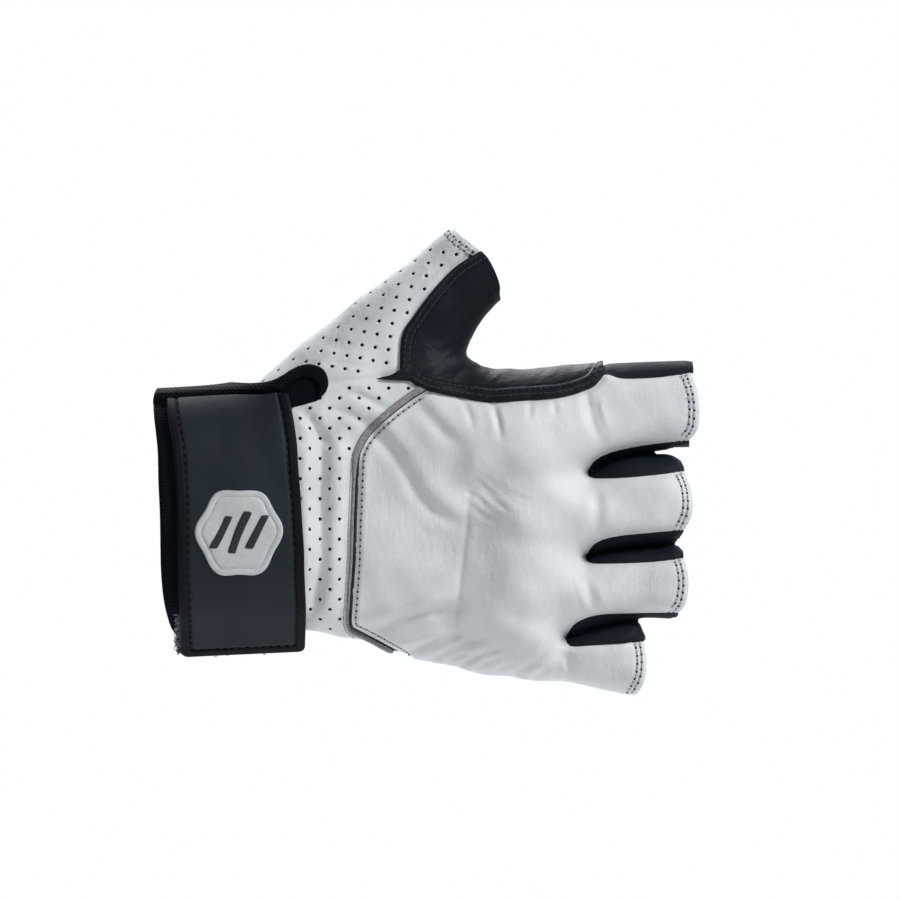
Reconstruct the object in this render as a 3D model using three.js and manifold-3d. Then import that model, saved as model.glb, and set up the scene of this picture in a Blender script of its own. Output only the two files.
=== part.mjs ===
// A short fingerless motorcycle glove for the right hand, in millimetres.
// The origin is the centre of the wrist opening. +X runs along the fingers, +Z towards the
// thumb side, and the back of the glove faces -Y. The glove keeps the form that it has when worn.
import * as THREE from "three";
import { mergeVertices } from "three/addons/utils/BufferGeometryUtils.js";
import Module from "manifold-3d";

const wasm = await Module();
wasm.setup();

// Driving dimensions
const LEATHER = 1.6; // thickness of the leather walls
const GAP = 0.3; // clearance between neighbouring pieces
const RAISED = 0.6; // how far the web patch and the welt stand above the leather
const REACH = 9; // how far a form runs past its openings before it is cut
const SEAM_Y = 3; // depth of the seam between the back and the palm
const DEEP = 60; // half depth of the prisms that cut the panels
const BELOW = -75; // heights clear of the little finger, of the wrist and of the thumb
const ABOVE = 60;
const ABOVE_THUMB = 97;
const BINDING_WIDTH = 6.2;
const BINDING_INNER = 2.4;
const WELT_WIDTH = 2;
const STRAP_LOW = 1; // underside of the strap above the leather
const STRAP_THICK = 1.8;
const BORDER_WIDTH = 3.2;
const BORDER_THICK = 0.7;
const TAPE_THICK = 2.4;
const TAPE_Y = -2; // depth where the slit's tape and the strap's wrap end at the thumb side
const UNDERLAP_THICK = 1.2;
const PAD_THICK = 1.6;
const STRAP_END = -43.8; // height of the strap's free end
const STRAP_END_RISE = 1.6; // how much higher its finger side ends
const STRAP_MIDDLE = 25;
const STRAP_LIFT = -30; // height where the free end leaves the wrist
const STRAP_SIDE = 24; // half width and length of the free end before its outline is cut
const STRAP_TAIL = 30;
const EMBLEM_THICK = 0.7;
const EMBLEM_SIZE = 27;
const EMBLEM_X = 25;
const EMBLEM_Z = -4.5;

// Sections of each form: the points round one, the step between two, and how square they are
const DETAIL = {
  body: { points: 34, step: 8, squareness: 2.4 },
  stall: { points: 18, step: 13, squareness: 2.15 },
  thumb: { points: 22, step: 13, squareness: 2.1 },
  web: { points: 14, step: 8, squareness: 2 },
};
const INNER_COARSER = 1.4; // how much coarser the form's inner side is than its outer side

// Rows of values under the named columns, as objects
function table(names, ...rows) {
  return rows.map((row) => Object.fromEntries(names.map((name, i) => [name, row[i]])));
}

// Sections of the forms: two opposite edge points as the back view shows them, and the depths
// of the back and of the palm side. The forms are lofted through these rows.
const SECTION = ["lowX", "lowZ", "topX", "topZ", "back", "palm"];

const PALM = table(
  SECTION,
  [0, -38.2, 0, 37.4, -25, 24],
  [20, -36.6, 20, 37.8, -24, 23.5],
  [45, -35.3, 45, 39.6, -22.5, 22.5],
  [60, -38.1, 60, 41.6, -20.5, 22],
  [76, -43.1, 76, 42.8, -18.5, 21],
  [92, -46.8, 92, 43.8, -18, 19],
  [107, -49.6, 107, 44.8, -18.5, 17],
  [117, -50.8, 119, 45, -17.8, 15.5],
  [122.5, -49, 127.5, 43.5, -15.2, 13],
  [125.5, -44, 132, 38, -9.5, 8.5],
);

const FINGERS = {
  index: table(
    SECTION,
    [104, 23, 104, 42, -12, 11],
    [118, 17, 118, 45.6, -17, 13],
    [132, 12.4, 132, 46.6, -14.2, 12.4],
    [142, 16.4, 142, 47, -12.6, 11.8],
    [151, 19.6, 151, 47.7, -12, 11.5],
    [164, 20.9, 164, 48.3, -11.8, 11.5],
  ),
  middle: table(
    SECTION,
    [104, -3, 104, 18, -16.2, 11],
    [118, -8, 118, 17, -19.4, 12],
    [132, -13.4, 132, 15.6, -16.2, 11],
    [143, -11.2, 143, 18.6, -14.4, 10],
    [152, -9.9, 152, 18.8, -14, 9.8],
    [162, -8, 162, 20, -13.8, 9.8],
  ),
  ring: table(
    SECTION,
    [104, -27, 104, -6, -15.2, 11],
    [118, -33, 118, -9, -18.2, 13],
    [131, -36.4, 132, -10.8, -14.8, 12],
    [142, -34.6, 142, -8.6, -12.8, 11.5],
    [151, -32.5, 152, -8.4, -12.3, 11.3],
    [161, -32.2, 161, -10, -12, 11.2],
  ),
  little: table(
    SECTION,
    [104, -46, 104, -29, -9, 8],
    [117, -50.8, 117, -33, -12.6, 13],
    [128, -52, 127, -34.8, -11, 13.6],
    [139, -54, 138, -33.2, -9.2, 13.2],
    [148, -56, 149, -34.6, -8.4, 13],
  ),
};

const THUMB = table(
  SECTION,
  [30, 6, 15, 34, -17, 18],
  [46, 12, 27, 42, -19.5, 23.4],
  [60, 22, 40.3, 51.5, -18.5, 22.5],
  [73, 33, 52.7, 60.2, -15.5, 20],
  [86, 45, 65.1, 70.3, -12.5, 17.5],
  [96, 57, 77.5, 79.4, -10.8, 15.4],
  [105.4, 67.3, 91.5, 88.6, -9.6, 14.2],
);

// The leather that spans the crotch between the thumb and the index finger
const WEB = table(
  SECTION,
  [86, 52, 99.4, 60.9, -8.5, 12],
  [83, 44, 95.8, 55.2, -8, 11],
  [82, 38, 94.4, 51.2, -8, 10.5],
  [86, 33, 96, 48.2, -8.5, 10.5],
  [95, 31, 99.5, 46.3, -10, 11],
  [108, 30, 108, 45.2, -12, 12],
);

// Folds and swellings of the back: a line, its width, and its rise, which is negative in a valley
const FOLDS = table(
  ["fromX", "fromZ", "toX", "toZ", "width", "rise"],
  [110, -36, 112, 34, 10, 1.3], // knuckle swelling
  [95.5, 4, 91.5, -34, 4.5, -1.7], // valley behind the knuckles
  [70, 25, 78, 13, 4, -1.5], // long fold from the thumb root
  [78, 13, 85.5, 2, 4, -1.7],
  [85.5, 2, 94, -2, 4, -1.4],
  [82, 34, 88.5, 27, 4, -1],
  [52, 24, 52.5, -2, 4, -1.5], // fold beside the strap
  [52.5, -2, 52, -14, 4, -1.5],
  [52, -14, 46.5, -32, 4, -1.5],
  [119, 20, 121, 22, 7, 1], // index knuckle
  [116, 1, 120, 0, 7, 1.3], // middle knuckle
  [115, -22, 118, -22, 7, 1.2], // ring knuckle
  [119, -36, 122, -37, 6, 0.8], // little knuckle
  [105, -6, 124, -9, 4, -1.1], // hollow between the middle and ring knuckles
  [134, 38, 134, 25, 4, -0.7], // crease at the index root
  [135, -22, 134, -30, 4, -0.6], // crease at the ring root
  [62, -33, 86, -23, 5, 0.9], // soft ridge over the outer edge
);

// Seam lines as the back view shows them, as [x, z] points joined by smooth curves
const LINES = {
  cuff: [[-1, 42], [-2.2, 35.5], [-0.8, 20], [-0.2, 0], [0.4, -22], [2.6, -33], [5, -38], [8, -46]],
  thumbSeam: [[4, 37.6], [30, 38], [45, 40.4], [54, 41.7], [67, 42.5]],
  weltUpper: [[82.2, 39.7], [74.4, 34.4], [65.1, 26], [61.4, 18.9], [60.5, 5]],
  weltLower: [[60.5, 5], [59.8, -13.6], [58.7, -31], [62.6, -37], [71.3, -41.5], [81.2, -44.6], [88, -52]],
  patchThumbSide: [[99.4, 82], [91.5, 76.9], [84.9, 70.1], [78.5, 61.5], [75.2, 55.8], [74.4, 45.2]],
  spurUpper: [[74.4, 45.2], [71.3, 43.5], [67, 42.5]],
  spurLower: [[67, 42.5], [71, 42.2], [77.5, 41.9]],
  patchWrist: [[77.5, 41.9], [79.6, 40.6], [82.2, 39.7]],
  patchBack: [[84.2, 38.6], [96, 36.3], [111, 35.9], [124, 36.9], [133, 39.6], [137.3, 44.1]],
  indexTop: [[137.3, 44.1], [139, 44.3], [143, 43], [150, 43], [157, 43.6], [164.3, 44.8]],
  indexEnd: [[164.3, 44.8], [166.3, 38.5], [166.9, 32], [166.2, 26.4], [163.9, 23]],
  indexLow: [[163.9, 23], [152, 21.7], [141, 19.6], [135, 16.8], [132.8, 13.3]],
  middleTop: [[132.8, 13.3], [134, 12.3], [142, 12.2], [152, 13], [162.6, 14.3]],
  middleEnd: [[162.6, 14.3], [164.4, 9.6], [165, 4], [164.3, -0.6], [162.4, -4.6]],
  middleLow: [[162.4, -4.6], [152, -5.5], [141, -6.7], [135, -8.8], [132.3, -12.6]],
  ringTop: [[132.3, -12.6], [133.5, -14], [142, -14.1], [152, -13.7], [162.3, -12.5]],
  ringEnd: [[162.3, -12.5], [163.4, -17], [163.6, -22], [162.6, -27.5], [160.6, -30.3]],
  ringLow: [[160.6, -30.3], [148, -30.5], [136, -30.9], [129, -33.4], [126.1, -37.6]],
  littleTop: [[126.1, -37.6], [127, -39.7], [134, -39.6], [143, -39.2], [150.3, -38.5]],
  littleEnd: [[150.3, -38.5], [150.9, -44], [150.4, -50], [147.9, -55.4], [145, -60]],
  thumbEnd: [[85, 97], [91.5, 88.4], [95.5, 85], [99.4, 82]],
  thumbEndLow: [[99.4, 82], [102.3, 78.6], [105, 72.4], [105.5, 67.4], [109, 62]],
  tapeUpper: [[-0.6, 39.4], [12, 40.6], [24, 40.9], [33, 41], [38.8, 43.2], [43.4, 45.8]],
  tapeEnd: [[43.4, 45.8], [47, 46.5], [50.6, 45], [52.4, 41.6], [51.4, 37.8]],
  tapeLower: [[38, 37.6], [32.5, 36.6], [20, 35.8], [4, 34.9]],
  strapLeft: [[2.9, 34.5], [5.2, 17], [6.1, 0], [6.4, -26], [6.6, STRAP_END]],
  strapRight: [
    [43.6, STRAP_END + STRAP_END_RISE], [44.7, -25], [43.9, 0], [42.6, 17], [41.5, 29], [40.6, 33.8],
    [38.2, 37.2],
  ],
};

// Closed solids and booleans

// A manifold solid of a closed geometry, turned right side out
function solidOf(geometry) {
  const bare = geometry.index ? geometry.toNonIndexed() : geometry.clone();
  bare.deleteAttribute("normal");
  bare.deleteAttribute("uv");
  const merged = mergeVertices(bare, 1e-4);
  const triVerts = new Uint32Array(merged.index.array);
  const vertProperties = merged.attributes.position.array;
  const made = new wasm.Manifold(new wasm.Mesh({ numProp: 3, vertProperties, triVerts }));
  if (made.volume() > 0) return made;
  for (let i = 0; i < triVerts.length; i += 3) {
    [triVerts[i + 1], triVerts[i + 2]] = [triVerts[i + 2], triVerts[i + 1]];
  }
  return new wasm.Manifold(new wasm.Mesh({ numProp: 3, vertProperties, triVerts }));
}

// The largest body of a solid, without the crumbs that a cut can leave
function mainBody(solid) {
  return solid.decompose().reduce((a, b) => (b.volume() > a.volume() ? b : a));
}

// A closed solid through rings of points that have equal counts
function loft(rings) {
  const count = rings[0].length;
  const points = rings.flat();
  const middle = (ring) => ring.reduce((a, p) => a.add(p), new THREE.Vector3()).divideScalar(count);
  points.push(middle(rings[0]), middle(rings.at(-1)));
  const last = points.length - 1;
  const index = [];
  for (let r = 0; r + 1 < rings.length; r++) {
    for (let i = 0; i < count; i++) {
      const a = r * count + i;
      const b = r * count + ((i + 1) % count);
      index.push(a, b, a + count, b, b + count, a + count);
    }
  }
  for (let i = 0; i < count; i++) {
    const next = (i + 1) % count;
    const end = (rings.length - 1) * count;
    index.push(next, i, last - 1);
    index.push(end + i, end + next, last);
  }
  return solidOf(new THREE.BufferGeometry().setFromPoints(points).setIndex(index));
}

// Worn form of the glove

// Rows between the given ones at a steady step
function smoothRows(rows, step) {
  const middle = (row) => new THREE.Vector2(row.lowX + row.topX, row.lowZ + row.topZ).divideScalar(2);
  const along = [0];
  for (let i = 1; i < rows.length; i++) {
    along.push(along[i - 1] + middle(rows[i]).distanceTo(middle(rows[i - 1])));
  }
  const values = rows.flatMap((row) => SECTION.map((name) => row[name]));
  const track = new THREE.CubicInterpolant(along, values, SECTION.length);
  const steps = Math.max(rows.length - 1, Math.round(along.at(-1) / step));
  return Array.from({ length: steps + 1 }, (_, i) => {
    const at = track.evaluate((along.at(-1) * i) / steps);
    return Object.fromEntries(SECTION.map((name, k) => [name, at[k]]));
  });
}

// The row that lies a given length past the end of two rows
function rowBeyond(row, before, length) {
  const x = (row.lowX + row.topX - before.lowX - before.topX) / 2;
  const z = (row.lowZ + row.topZ - before.lowZ - before.topZ) / 2;
  const share = length / Math.hypot(x, z);
  const next = { ...row };
  next.lowX += x * share;
  next.topX += x * share;
  next.lowZ += z * share;
  next.topZ += z * share;
  return next;
}

// Height of the folds at a point of the back
function foldRise(x, z) {
  return FOLDS.reduce((sum, fold) => {
    const from = new THREE.Vector3(fold.fromX, 0, fold.fromZ);
    const to = new THREE.Vector3(fold.toX, 0, fold.toZ);
    const point = new THREE.Vector3(x, 0, z);
    const near = new THREE.Line3(from, to).closestPointToPoint(point, true, new THREE.Vector3());
    return sum + fold.rise * Math.exp(-((point.distanceTo(near) / fold.width) ** 2));
  }, 0);
}

// One rounded section, grown outwards, with the folds on its back
function sectionRing(row, { grow, points, squareness, folded }) {
  const low = new THREE.Vector2(row.lowX, row.lowZ);
  const axis = new THREE.Vector2(row.topX, row.topZ).sub(low);
  const half = axis.length() / 2 + grow;
  const centre = low.clone().addScaledVector(axis, 0.5);
  axis.normalize();
  const depth = (row.palm - row.back) / 2 + grow;
  const middle = (row.palm + row.back) / 2;
  const bend = (value) => Math.sign(value) * Math.abs(value) ** (2 / squareness);
  return Array.from({ length: points }, (_, i) => {
    const turn = (2 * Math.PI * i) / points;
    const across = bend(Math.cos(turn)) * half;
    const through = bend(Math.sin(turn));
    const x = centre.x + axis.x * across;
    const z = centre.y + axis.y * across;
    const rise = folded ? foldRise(x, z) * THREE.MathUtils.smoothstep(-through, 0.2, 0.8) : 0;
    return new THREE.Vector3(x, middle + through * depth - rise, z);
  });
}

// A loft through a table of sections, run past its open ends
function form(rows, options) {
  const open = [...rows];
  if (options.openStart) open.unshift(rowBeyond(rows[0], rows[1], REACH));
  if (options.openEnd) open.push(rowBeyond(rows.at(-1), rows.at(-2), REACH));
  else open[open.length - 1] = rowBeyond(open.at(-1), open.at(-2), options.grow);
  return loft(smoothRows(open, options.step).map((row) => sectionRing(row, options)));
}

const forms = new Map();

// The whole glove as a solid, grown outwards by a distance
function gloveForm(grow) {
  if (forms.has(grow)) return forms.get(grow);
  const coarse = grow < 0 ? INNER_COARSER : 1;
  const detail = ({ points, step, squareness }) => {
    const fewer = 2 * Math.round(points / coarse / 2);
    return { grow, points: fewer, step: step * coarse, squareness };
  };
  const body = { ...detail(DETAIL.body), folded: true, openStart: true };
  const stall = { ...detail(DETAIL.stall), folded: true, openEnd: true };
  const thumb = { ...detail(DETAIL.thumb), folded: false, openEnd: true };
  const web = { ...detail(DETAIL.web), folded: false };
  let whole = form(PALM, body).add(form(THUMB, thumb)).add(form(WEB, web));
  for (const rows of Object.values(FINGERS)) whole = whole.add(form(rows, stall));
  forms.set(grow, whole);
  return whole;
}

// The shell between two growths of the form
function wall(inner, outer) {
  return gloveForm(outer).subtract(gloveForm(inner));
}

// Outlines in the back view

// Points of a smooth curve through a named line
function line(name, reverse = false) {
  const given = LINES[name].map(([x, z]) => new THREE.Vector2(x, z));
  const curve = new THREE.SplineCurve(given).getPoints((given.length - 1) * 2);
  return reverse ? curve.reverse() : curve;
}

function corner(x, z) {
  return [new THREE.Vector2(x, z)];
}

// A closed outline drawn in by half a gap, so that neighbours stay clear of each other
function inset(outline, distance) {
  const points = outline.filter((p, i) => p.distanceTo(outline.at(i - 1)) > 0.05);
  const side = THREE.ShapeUtils.area(points) > 0 ? 1 : -1;
  return points.map((point, i) => {
    const before = point.clone().sub(points.at(i - 1)).normalize();
    const after = points[(i + 1) % points.length].clone().sub(point).normalize();
    const mean = before.clone().add(after).normalize();
    const reach = distance / Math.max(0.5, mean.dot(before));
    return new THREE.Vector2(point.x - mean.y * reach * side, point.y + mean.x * reach * side);
  });
}

// A prism of an outline along Y, from one depth to another
function prism(outline, fromY, toY) {
  const shape = new THREE.Shape(outline);
  const geometry = new THREE.ExtrudeGeometry(shape, { depth: toY - fromY, bevelEnabled: false });
  geometry.rotateX(Math.PI / 2);
  geometry.translate(0, toY, 0);
  return solidOf(geometry);
}

// A panel: the part of a shell inside an outline and between two depths
function panel(shell, outline, fromY, toY) {
  return mainBody(shell.intersect(prism(inset(outline, GAP / 2), fromY, toY)));
}

// A band beside a line, on its left side
function band(points, width) {
  const far = points.map((point, i) => {
    const before = points[Math.max(0, i - 1)];
    const after = points[Math.min(points.length - 1, i + 1)];
    const along = after.clone().sub(before).normalize();
    return new THREE.Vector2(point.x - along.y * width, point.y + along.x * width);
  });
  return [...points, ...far.reverse()];
}

const weltLine = [...line("weltUpper"), ...line("weltLower").slice(1)];
const weltFar = band(weltLine, WELT_WIDTH).slice(weltLine.length);
const cuffInner = line("cuff").map((p) => new THREE.Vector2(p.x + BINDING_WIDTH, p.y));

// Panels of the back

function backPanel() {
  const outline = [
    ...weltFar,
    ...line("patchBack"),
    ...line("indexTop"),
    ...line("indexEnd"),
    ...line("indexLow"),
    ...line("middleTop"),
    ...line("middleEnd"),
    ...line("middleLow"),
    ...line("ringTop"),
    ...line("ringEnd"),
    ...line("ringLow"),
    ...line("littleTop"),
    ...line("littleEnd"),
    ...corner(145, BELOW),
    ...corner(92, BELOW),
  ];
  return panel(wall(-LEATHER, 0), outline, -DEEP, SEAM_Y - GAP / 2);
}

function wristPanel() {
  const outline = [
    ...line("thumbSeam"),
    ...line("spurLower"),
    ...line("patchWrist"),
    ...weltLine,
    ...corner(88, BELOW),
    ...corner(16, BELOW),
    ...[...cuffInner].reverse().filter((p) => p.y < LINES.thumbSeam[0][1]),
  ];
  return panel(wall(-LEATHER, 0), outline, -DEEP, SEAM_Y - GAP / 2);
}

function thumbPanel() {
  const outline = [
    ...line("thumbSeam", true),
    ...corner(4, ABOVE_THUMB),
    ...line("thumbEnd"),
    ...line("patchThumbSide"),
    ...line("spurUpper"),
  ];
  return panel(wall(-LEATHER, 0), outline, -DEEP, SEAM_Y - GAP / 2);
}

function webPatch() {
  const outline = [
    ...line("patchThumbSide"),
    ...line("spurUpper"),
    ...line("spurLower"),
    ...line("patchWrist"),
    ...line("patchBack"),
    ...corner(137.3, ABOVE),
    ...line("thumbEndLow", true),
  ];
  return panel(wall(-LEATHER, RAISED), outline, -DEEP, SEAM_Y - GAP / 2);
}

function weltStrip() {
  const whole = band(weltLine, WELT_WIDTH);
  return panel(wall(-LEATHER, RAISED), whole, -DEEP, SEAM_Y - GAP / 2);
}

// Black walls between and beside the finger stalls

function indexSidePanel() {
  const outline = [
    ...line("indexTop"),
    ...corner(165.2, 45.4),
    ...corner(164.2, ABOVE),
    ...corner(137.6, ABOVE),
  ];
  return panel(wall(-LEATHER, 0), outline, -DEEP, SEAM_Y - GAP / 2);
}

// Each gusset lies between the lower edge of one finger's back and the upper edge of the next,
// and ends in the two short rims that its walls show at the fingertips
const GUSSETS = {
  gusset_index_middle: {
    above: "indexLow",
    below: "middleTop",
    rim: [[162.6, 15.5], [161, 18.8], [158.6, 21.4], [164, 21.2]],
  },
  gusset_middle_ring: {
    above: "middleLow",
    below: "ringTop",
    rim: [[162.2, -10.6], [160.3, -7.6], [161.6, -6.2]],
  },
  gusset_ring_little: {
    above: "ringLow",
    below: "littleTop",
    rim: [[151, -36.8], [149.4, -33], [158, -32.8]],
  },
};

function gusset({ above, below, rim }) {
  const end = rim.map(([x, z]) => new THREE.Vector2(x, z));
  const outline = [...line(above), ...line(below).slice(1), ...end];
  return panel(wall(-LEATHER, 0), outline, -DEEP, SEAM_Y - GAP / 2);
}

// Where the palm side of each stall ends, from the height of one stall's end to the next one's
const PALM_ENDS = table(
  ["x", "fromZ", "toZ"],
  [165.6, ABOVE, 20.3], // index
  [164.6, 20.1, -9], // middle
  [163.4, -9.3, -33.3], // ring
);

// Palm side, one plain piece from the cuff to the ends of the stalls
function palmPanel() {
  const outline = [
    ...[...cuffInner].reverse(),
    ...corner(6, ABOVE_THUMB),
    ...line("thumbEnd"),
    ...line("thumbEndLow").slice(1),
    ...PALM_ENDS.flatMap((end) => [...corner(end.x, end.fromZ), ...corner(end.x, end.toZ)]),
    ...corner(152.8, -33.5),
    ...corner(150.6, BELOW),
    ...corner(16, BELOW),
  ];
  return panel(wall(-LEATHER, 0), outline, SEAM_Y + GAP / 2, DEEP);
}

// Bindings

function cuffBinding() {
  const outline = [
    ...line("cuff"),
    ...corner(8, BELOW),
    ...corner(16, BELOW),
    ...[...cuffInner].reverse(),
    ...corner(5.2, ABOVE),
    ...corner(-1, ABOVE),
  ];
  return panel(wall(-BINDING_INNER, RAISED), outline, -DEEP, DEEP);
}

// The tape along the slit, on top of the strap's root, with its rounded end
function slitBinding() {
  const outline = [
    ...line("tapeUpper"),
    ...line("tapeEnd"),
    ...corner(48.8, 39.2),
    ...corner(47.8, 41.6),
    ...corner(44.6, 42.2),
    ...line("tapeLower"),
    ...corner(0.2, 34.7),
  ];
  return panel(wall(RAISED + GAP, RAISED + GAP + TAPE_THICK), outline, -DEEP, TAPE_Y);
}

// The underlap that shows inside the rounded end
function slitGusset() {
  const outline = [
    ...corner(38.4, 37.6),
    ...corner(44.6, 42),
    ...corner(47.6, 41.4),
    ...corner(48.6, 39),
    ...corner(51.2, 37.6),
    ...corner(49, 36),
    ...corner(41.2, 33.6),
  ];
  return panel(wall(RAISED, RAISED + UNDERLAP_THICK), outline, -DEEP, TAPE_Y);
}

// Strap

// Depth of the grown wrist's back at a level, on the faceted section at one side of the strap
function wristBack(x, z, grow) {
  const { points, step, squareness } = DETAIL.body;
  const row = smoothRows([rowBeyond(PALM[0], PALM[1], REACH), ...PALM], step).find((s) => s.lowX >= x);
  const ring = sectionRing(row, { grow, points, squareness, folded: true });
  const i = ring.findIndex((p, k) => p.y < 0 && p.z <= z && ring[(k + 1) % ring.length].z > z);
  const next = ring[(i + 1) % ring.length];
  return THREE.MathUtils.mapLinear(z, ring[i].z, next.z, ring[i].y, next.y);
}

// The straight free end of the strap, which leaves the wrist at the lift, between two heights
function tailSheet(low, high) {
  const lift = (x, height) => new THREE.Vector2(wristBack(x, STRAP_LIFT, height), STRAP_LIFT);
  const below = new THREE.Vector2(wristBack(STRAP_MIDDLE, STRAP_LIFT - 1, 0), STRAP_LIFT - 1);
  const along = below.sub(lift(STRAP_MIDDLE, 0)).normalize();
  const edge = (distance, height) =>
    [STRAP_MIDDLE - STRAP_SIDE, STRAP_MIDDLE + STRAP_SIDE].map((x) => {
      const point = lift(x, height).addScaledVector(along, distance);
      return new THREE.Vector3(x, point.x, point.y);
    });
  const section = (distance) => [...edge(distance, low), ...edge(distance, high).reverse()];
  return loft([section(-GAP), section(STRAP_TAIL)]);
}

// A sheet that follows the strap, between two heights above the leather
function strapSheet(low, high) {
  const wrapped = [
    ...corner(-4, STRAP_LIFT),
    ...corner(52, STRAP_LIFT),
    ...corner(52, ABOVE),
    ...corner(-4, ABOVE),
  ];
  const tail = tailSheet(low, high).subtract(gloveForm(RAISED + GAP));
  return wall(low, high).intersect(prism(wrapped, -DEEP, TAPE_Y)).add(tail);
}

function strapOutline() {
  return [...line("strapLeft"), ...line("strapRight"), ...line("tapeLower").slice(1)];
}

function wristStrap() {
  const sheet = strapSheet(STRAP_LOW, STRAP_LOW + STRAP_THICK);
  return panel(sheet, strapOutline(), -DEEP, DEEP);
}

// A raised border along the two sides and the free end
function strapBorder() {
  const low = STRAP_LOW + STRAP_THICK + GAP;
  const outer = prism(inset(strapOutline(), GAP / 2), -DEEP, DEEP);
  const shifted = (name, x) => line(name).map((p) => new THREE.Vector2(p.x + x, p.y));
  const above = (p) => p.y > STRAP_END + BORDER_WIDTH + 1;
  const left = shifted("strapLeft", BORDER_WIDTH).filter(above);
  const right = shifted("strapRight", -BORDER_WIDTH).filter((p) => above(p) && p.y < 33);
  const foot = STRAP_END + BORDER_WIDTH;
  const window = [
    ...corner(left[0].x, DEEP),
    ...left,
    ...corner(left.at(-1).x, foot),
    ...corner(right[0].x, foot + STRAP_END_RISE),
    ...right,
    ...corner(right.at(-1).x, DEEP),
  ];
  const inner = prism(window, -DEEP, DEEP);
  const sheet = strapSheet(low, low + BORDER_THICK).subtract(strapSheet(STRAP_LOW, low));
  return mainBody(sheet.intersect(outer).subtract(inner));
}

// A plain hexagon with soft corners on the strap
function strapEmblem() {
  const low = STRAP_LOW + STRAP_THICK + GAP;
  const sides = 6;
  const corners = sides * 4;
  const flatness = 0.045;
  const outline = Array.from({ length: corners }, (_, i) => {
    const turn = (2 * Math.PI * i) / corners;
    const radius = (EMBLEM_SIZE / 2) * (1 - flatness * (1 - Math.cos(sides * turn)));
    return new THREE.Vector2(EMBLEM_X + radius * Math.cos(turn), EMBLEM_Z + radius * Math.sin(turn));
  });
  return panel(strapSheet(low, low + EMBLEM_THICK), outline, -DEEP, DEEP);
}

// Loop fuzz under the strap's free end
function loopPad() {
  const outline = [...corner(4.6, -27), ...corner(4.6, -42.6), ...corner(41, -41), ...corner(41, -27)];
  const sheet = tailSheet(STRAP_LOW - GAP - PAD_THICK, STRAP_LOW - GAP);
  const strap = strapSheet(STRAP_LOW - GAP, STRAP_LOW + STRAP_THICK);
  const clear = sheet.subtract(gloveForm(RAISED + GAP)).subtract(strap);
  return panel(clear, outline, -DEEP, DEEP);
}

// Materials and assembly

const MATERIALS = {
  white: { color: 0xcdd3d5, roughness: 0.55, metalness: 0 },
  black: { color: 0x1e242c, roughness: 0.5, metalness: 0 },
  strap: { color: 0x2d333a, roughness: 0.6, metalness: 0 },
  tape: { color: 0x1a1f26, roughness: 0.75, metalness: 0 },
  grey: { color: 0x969496, roughness: 0.8, metalness: 0 },
  mark: { color: 0xc8cdcf, roughness: 0.5, metalness: 0 },
  fuzz: { color: 0x2a2d33, roughness: 0.95, metalness: 0 },
};

const glove = new THREE.Group();
glove.name = "motorcycle_glove";

function addPiece(name, solid, look) {
  const made = solid.getMesh();
  const geometry = new THREE.BufferGeometry();
  geometry.setAttribute("position", new THREE.BufferAttribute(made.vertProperties, 3));
  geometry.setIndex(new THREE.BufferAttribute(made.triVerts, 1));
  geometry.computeVertexNormals();
  const mesh = new THREE.Mesh(geometry, new THREE.MeshStandardMaterial(MATERIALS[look]));
  mesh.name = name;
  glove.add(mesh);
}

addPiece("back_panel", backPanel(), "white");
addPiece("wrist_panel", wristPanel(), "white");
addPiece("thumb_panel", thumbPanel(), "white");
addPiece("web_patch", webPatch(), "black");
addPiece("welt_strip", weltStrip(), "grey");
addPiece("index_side_panel", indexSidePanel(), "black");
for (const [name, sizes] of Object.entries(GUSSETS)) addPiece(name, gusset(sizes), "black");
addPiece("palm_panel", palmPanel(), "black");
addPiece("cuff_binding", cuffBinding(), "tape");
addPiece("slit_binding", slitBinding(), "tape");
addPiece("slit_gusset", slitGusset(), "black");
addPiece("wrist_strap", wristStrap(), "strap");
addPiece("strap_border", strapBorder(), "strap");
addPiece("strap_emblem", strapEmblem(), "mark");
addPiece("loop_pad", loopPad(), "fuzz");

export default glove;
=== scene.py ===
"""The looks of a short fingerless motorcycle glove for the right hand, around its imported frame.

The leather is one worn form, given by smooth fields over the back view: how near the outline a
place is, and how deep the back and the palm side lie there. Each panel is cut from that form along
its seam lines, given its thickness, and finished with its folds, borders, stitches and holes.
"""

import math

import bpy
import numpy as np
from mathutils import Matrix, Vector


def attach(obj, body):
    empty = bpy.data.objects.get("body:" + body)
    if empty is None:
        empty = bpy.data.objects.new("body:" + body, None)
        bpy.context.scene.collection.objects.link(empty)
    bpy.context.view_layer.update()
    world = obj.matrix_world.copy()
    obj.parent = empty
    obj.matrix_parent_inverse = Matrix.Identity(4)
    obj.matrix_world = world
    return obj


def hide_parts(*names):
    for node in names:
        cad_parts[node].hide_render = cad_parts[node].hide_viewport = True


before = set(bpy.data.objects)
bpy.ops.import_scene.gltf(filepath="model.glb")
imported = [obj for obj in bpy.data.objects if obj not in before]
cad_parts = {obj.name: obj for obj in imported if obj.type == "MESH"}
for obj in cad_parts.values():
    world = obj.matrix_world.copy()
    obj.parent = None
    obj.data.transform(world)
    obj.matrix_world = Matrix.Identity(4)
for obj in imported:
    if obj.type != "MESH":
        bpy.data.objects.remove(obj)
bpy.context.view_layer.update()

bl_info = {
    "name": "Motorcycle glove",
    "version": (1, 0, 0),
    "blender": (4, 5, 0),
    "location": "3D View > Sidebar > Glove",
    "description": "Builds the leather, strap, tapes and stitches of a fingerless motorcycle glove",
    "category": "Add Mesh",
}

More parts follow.
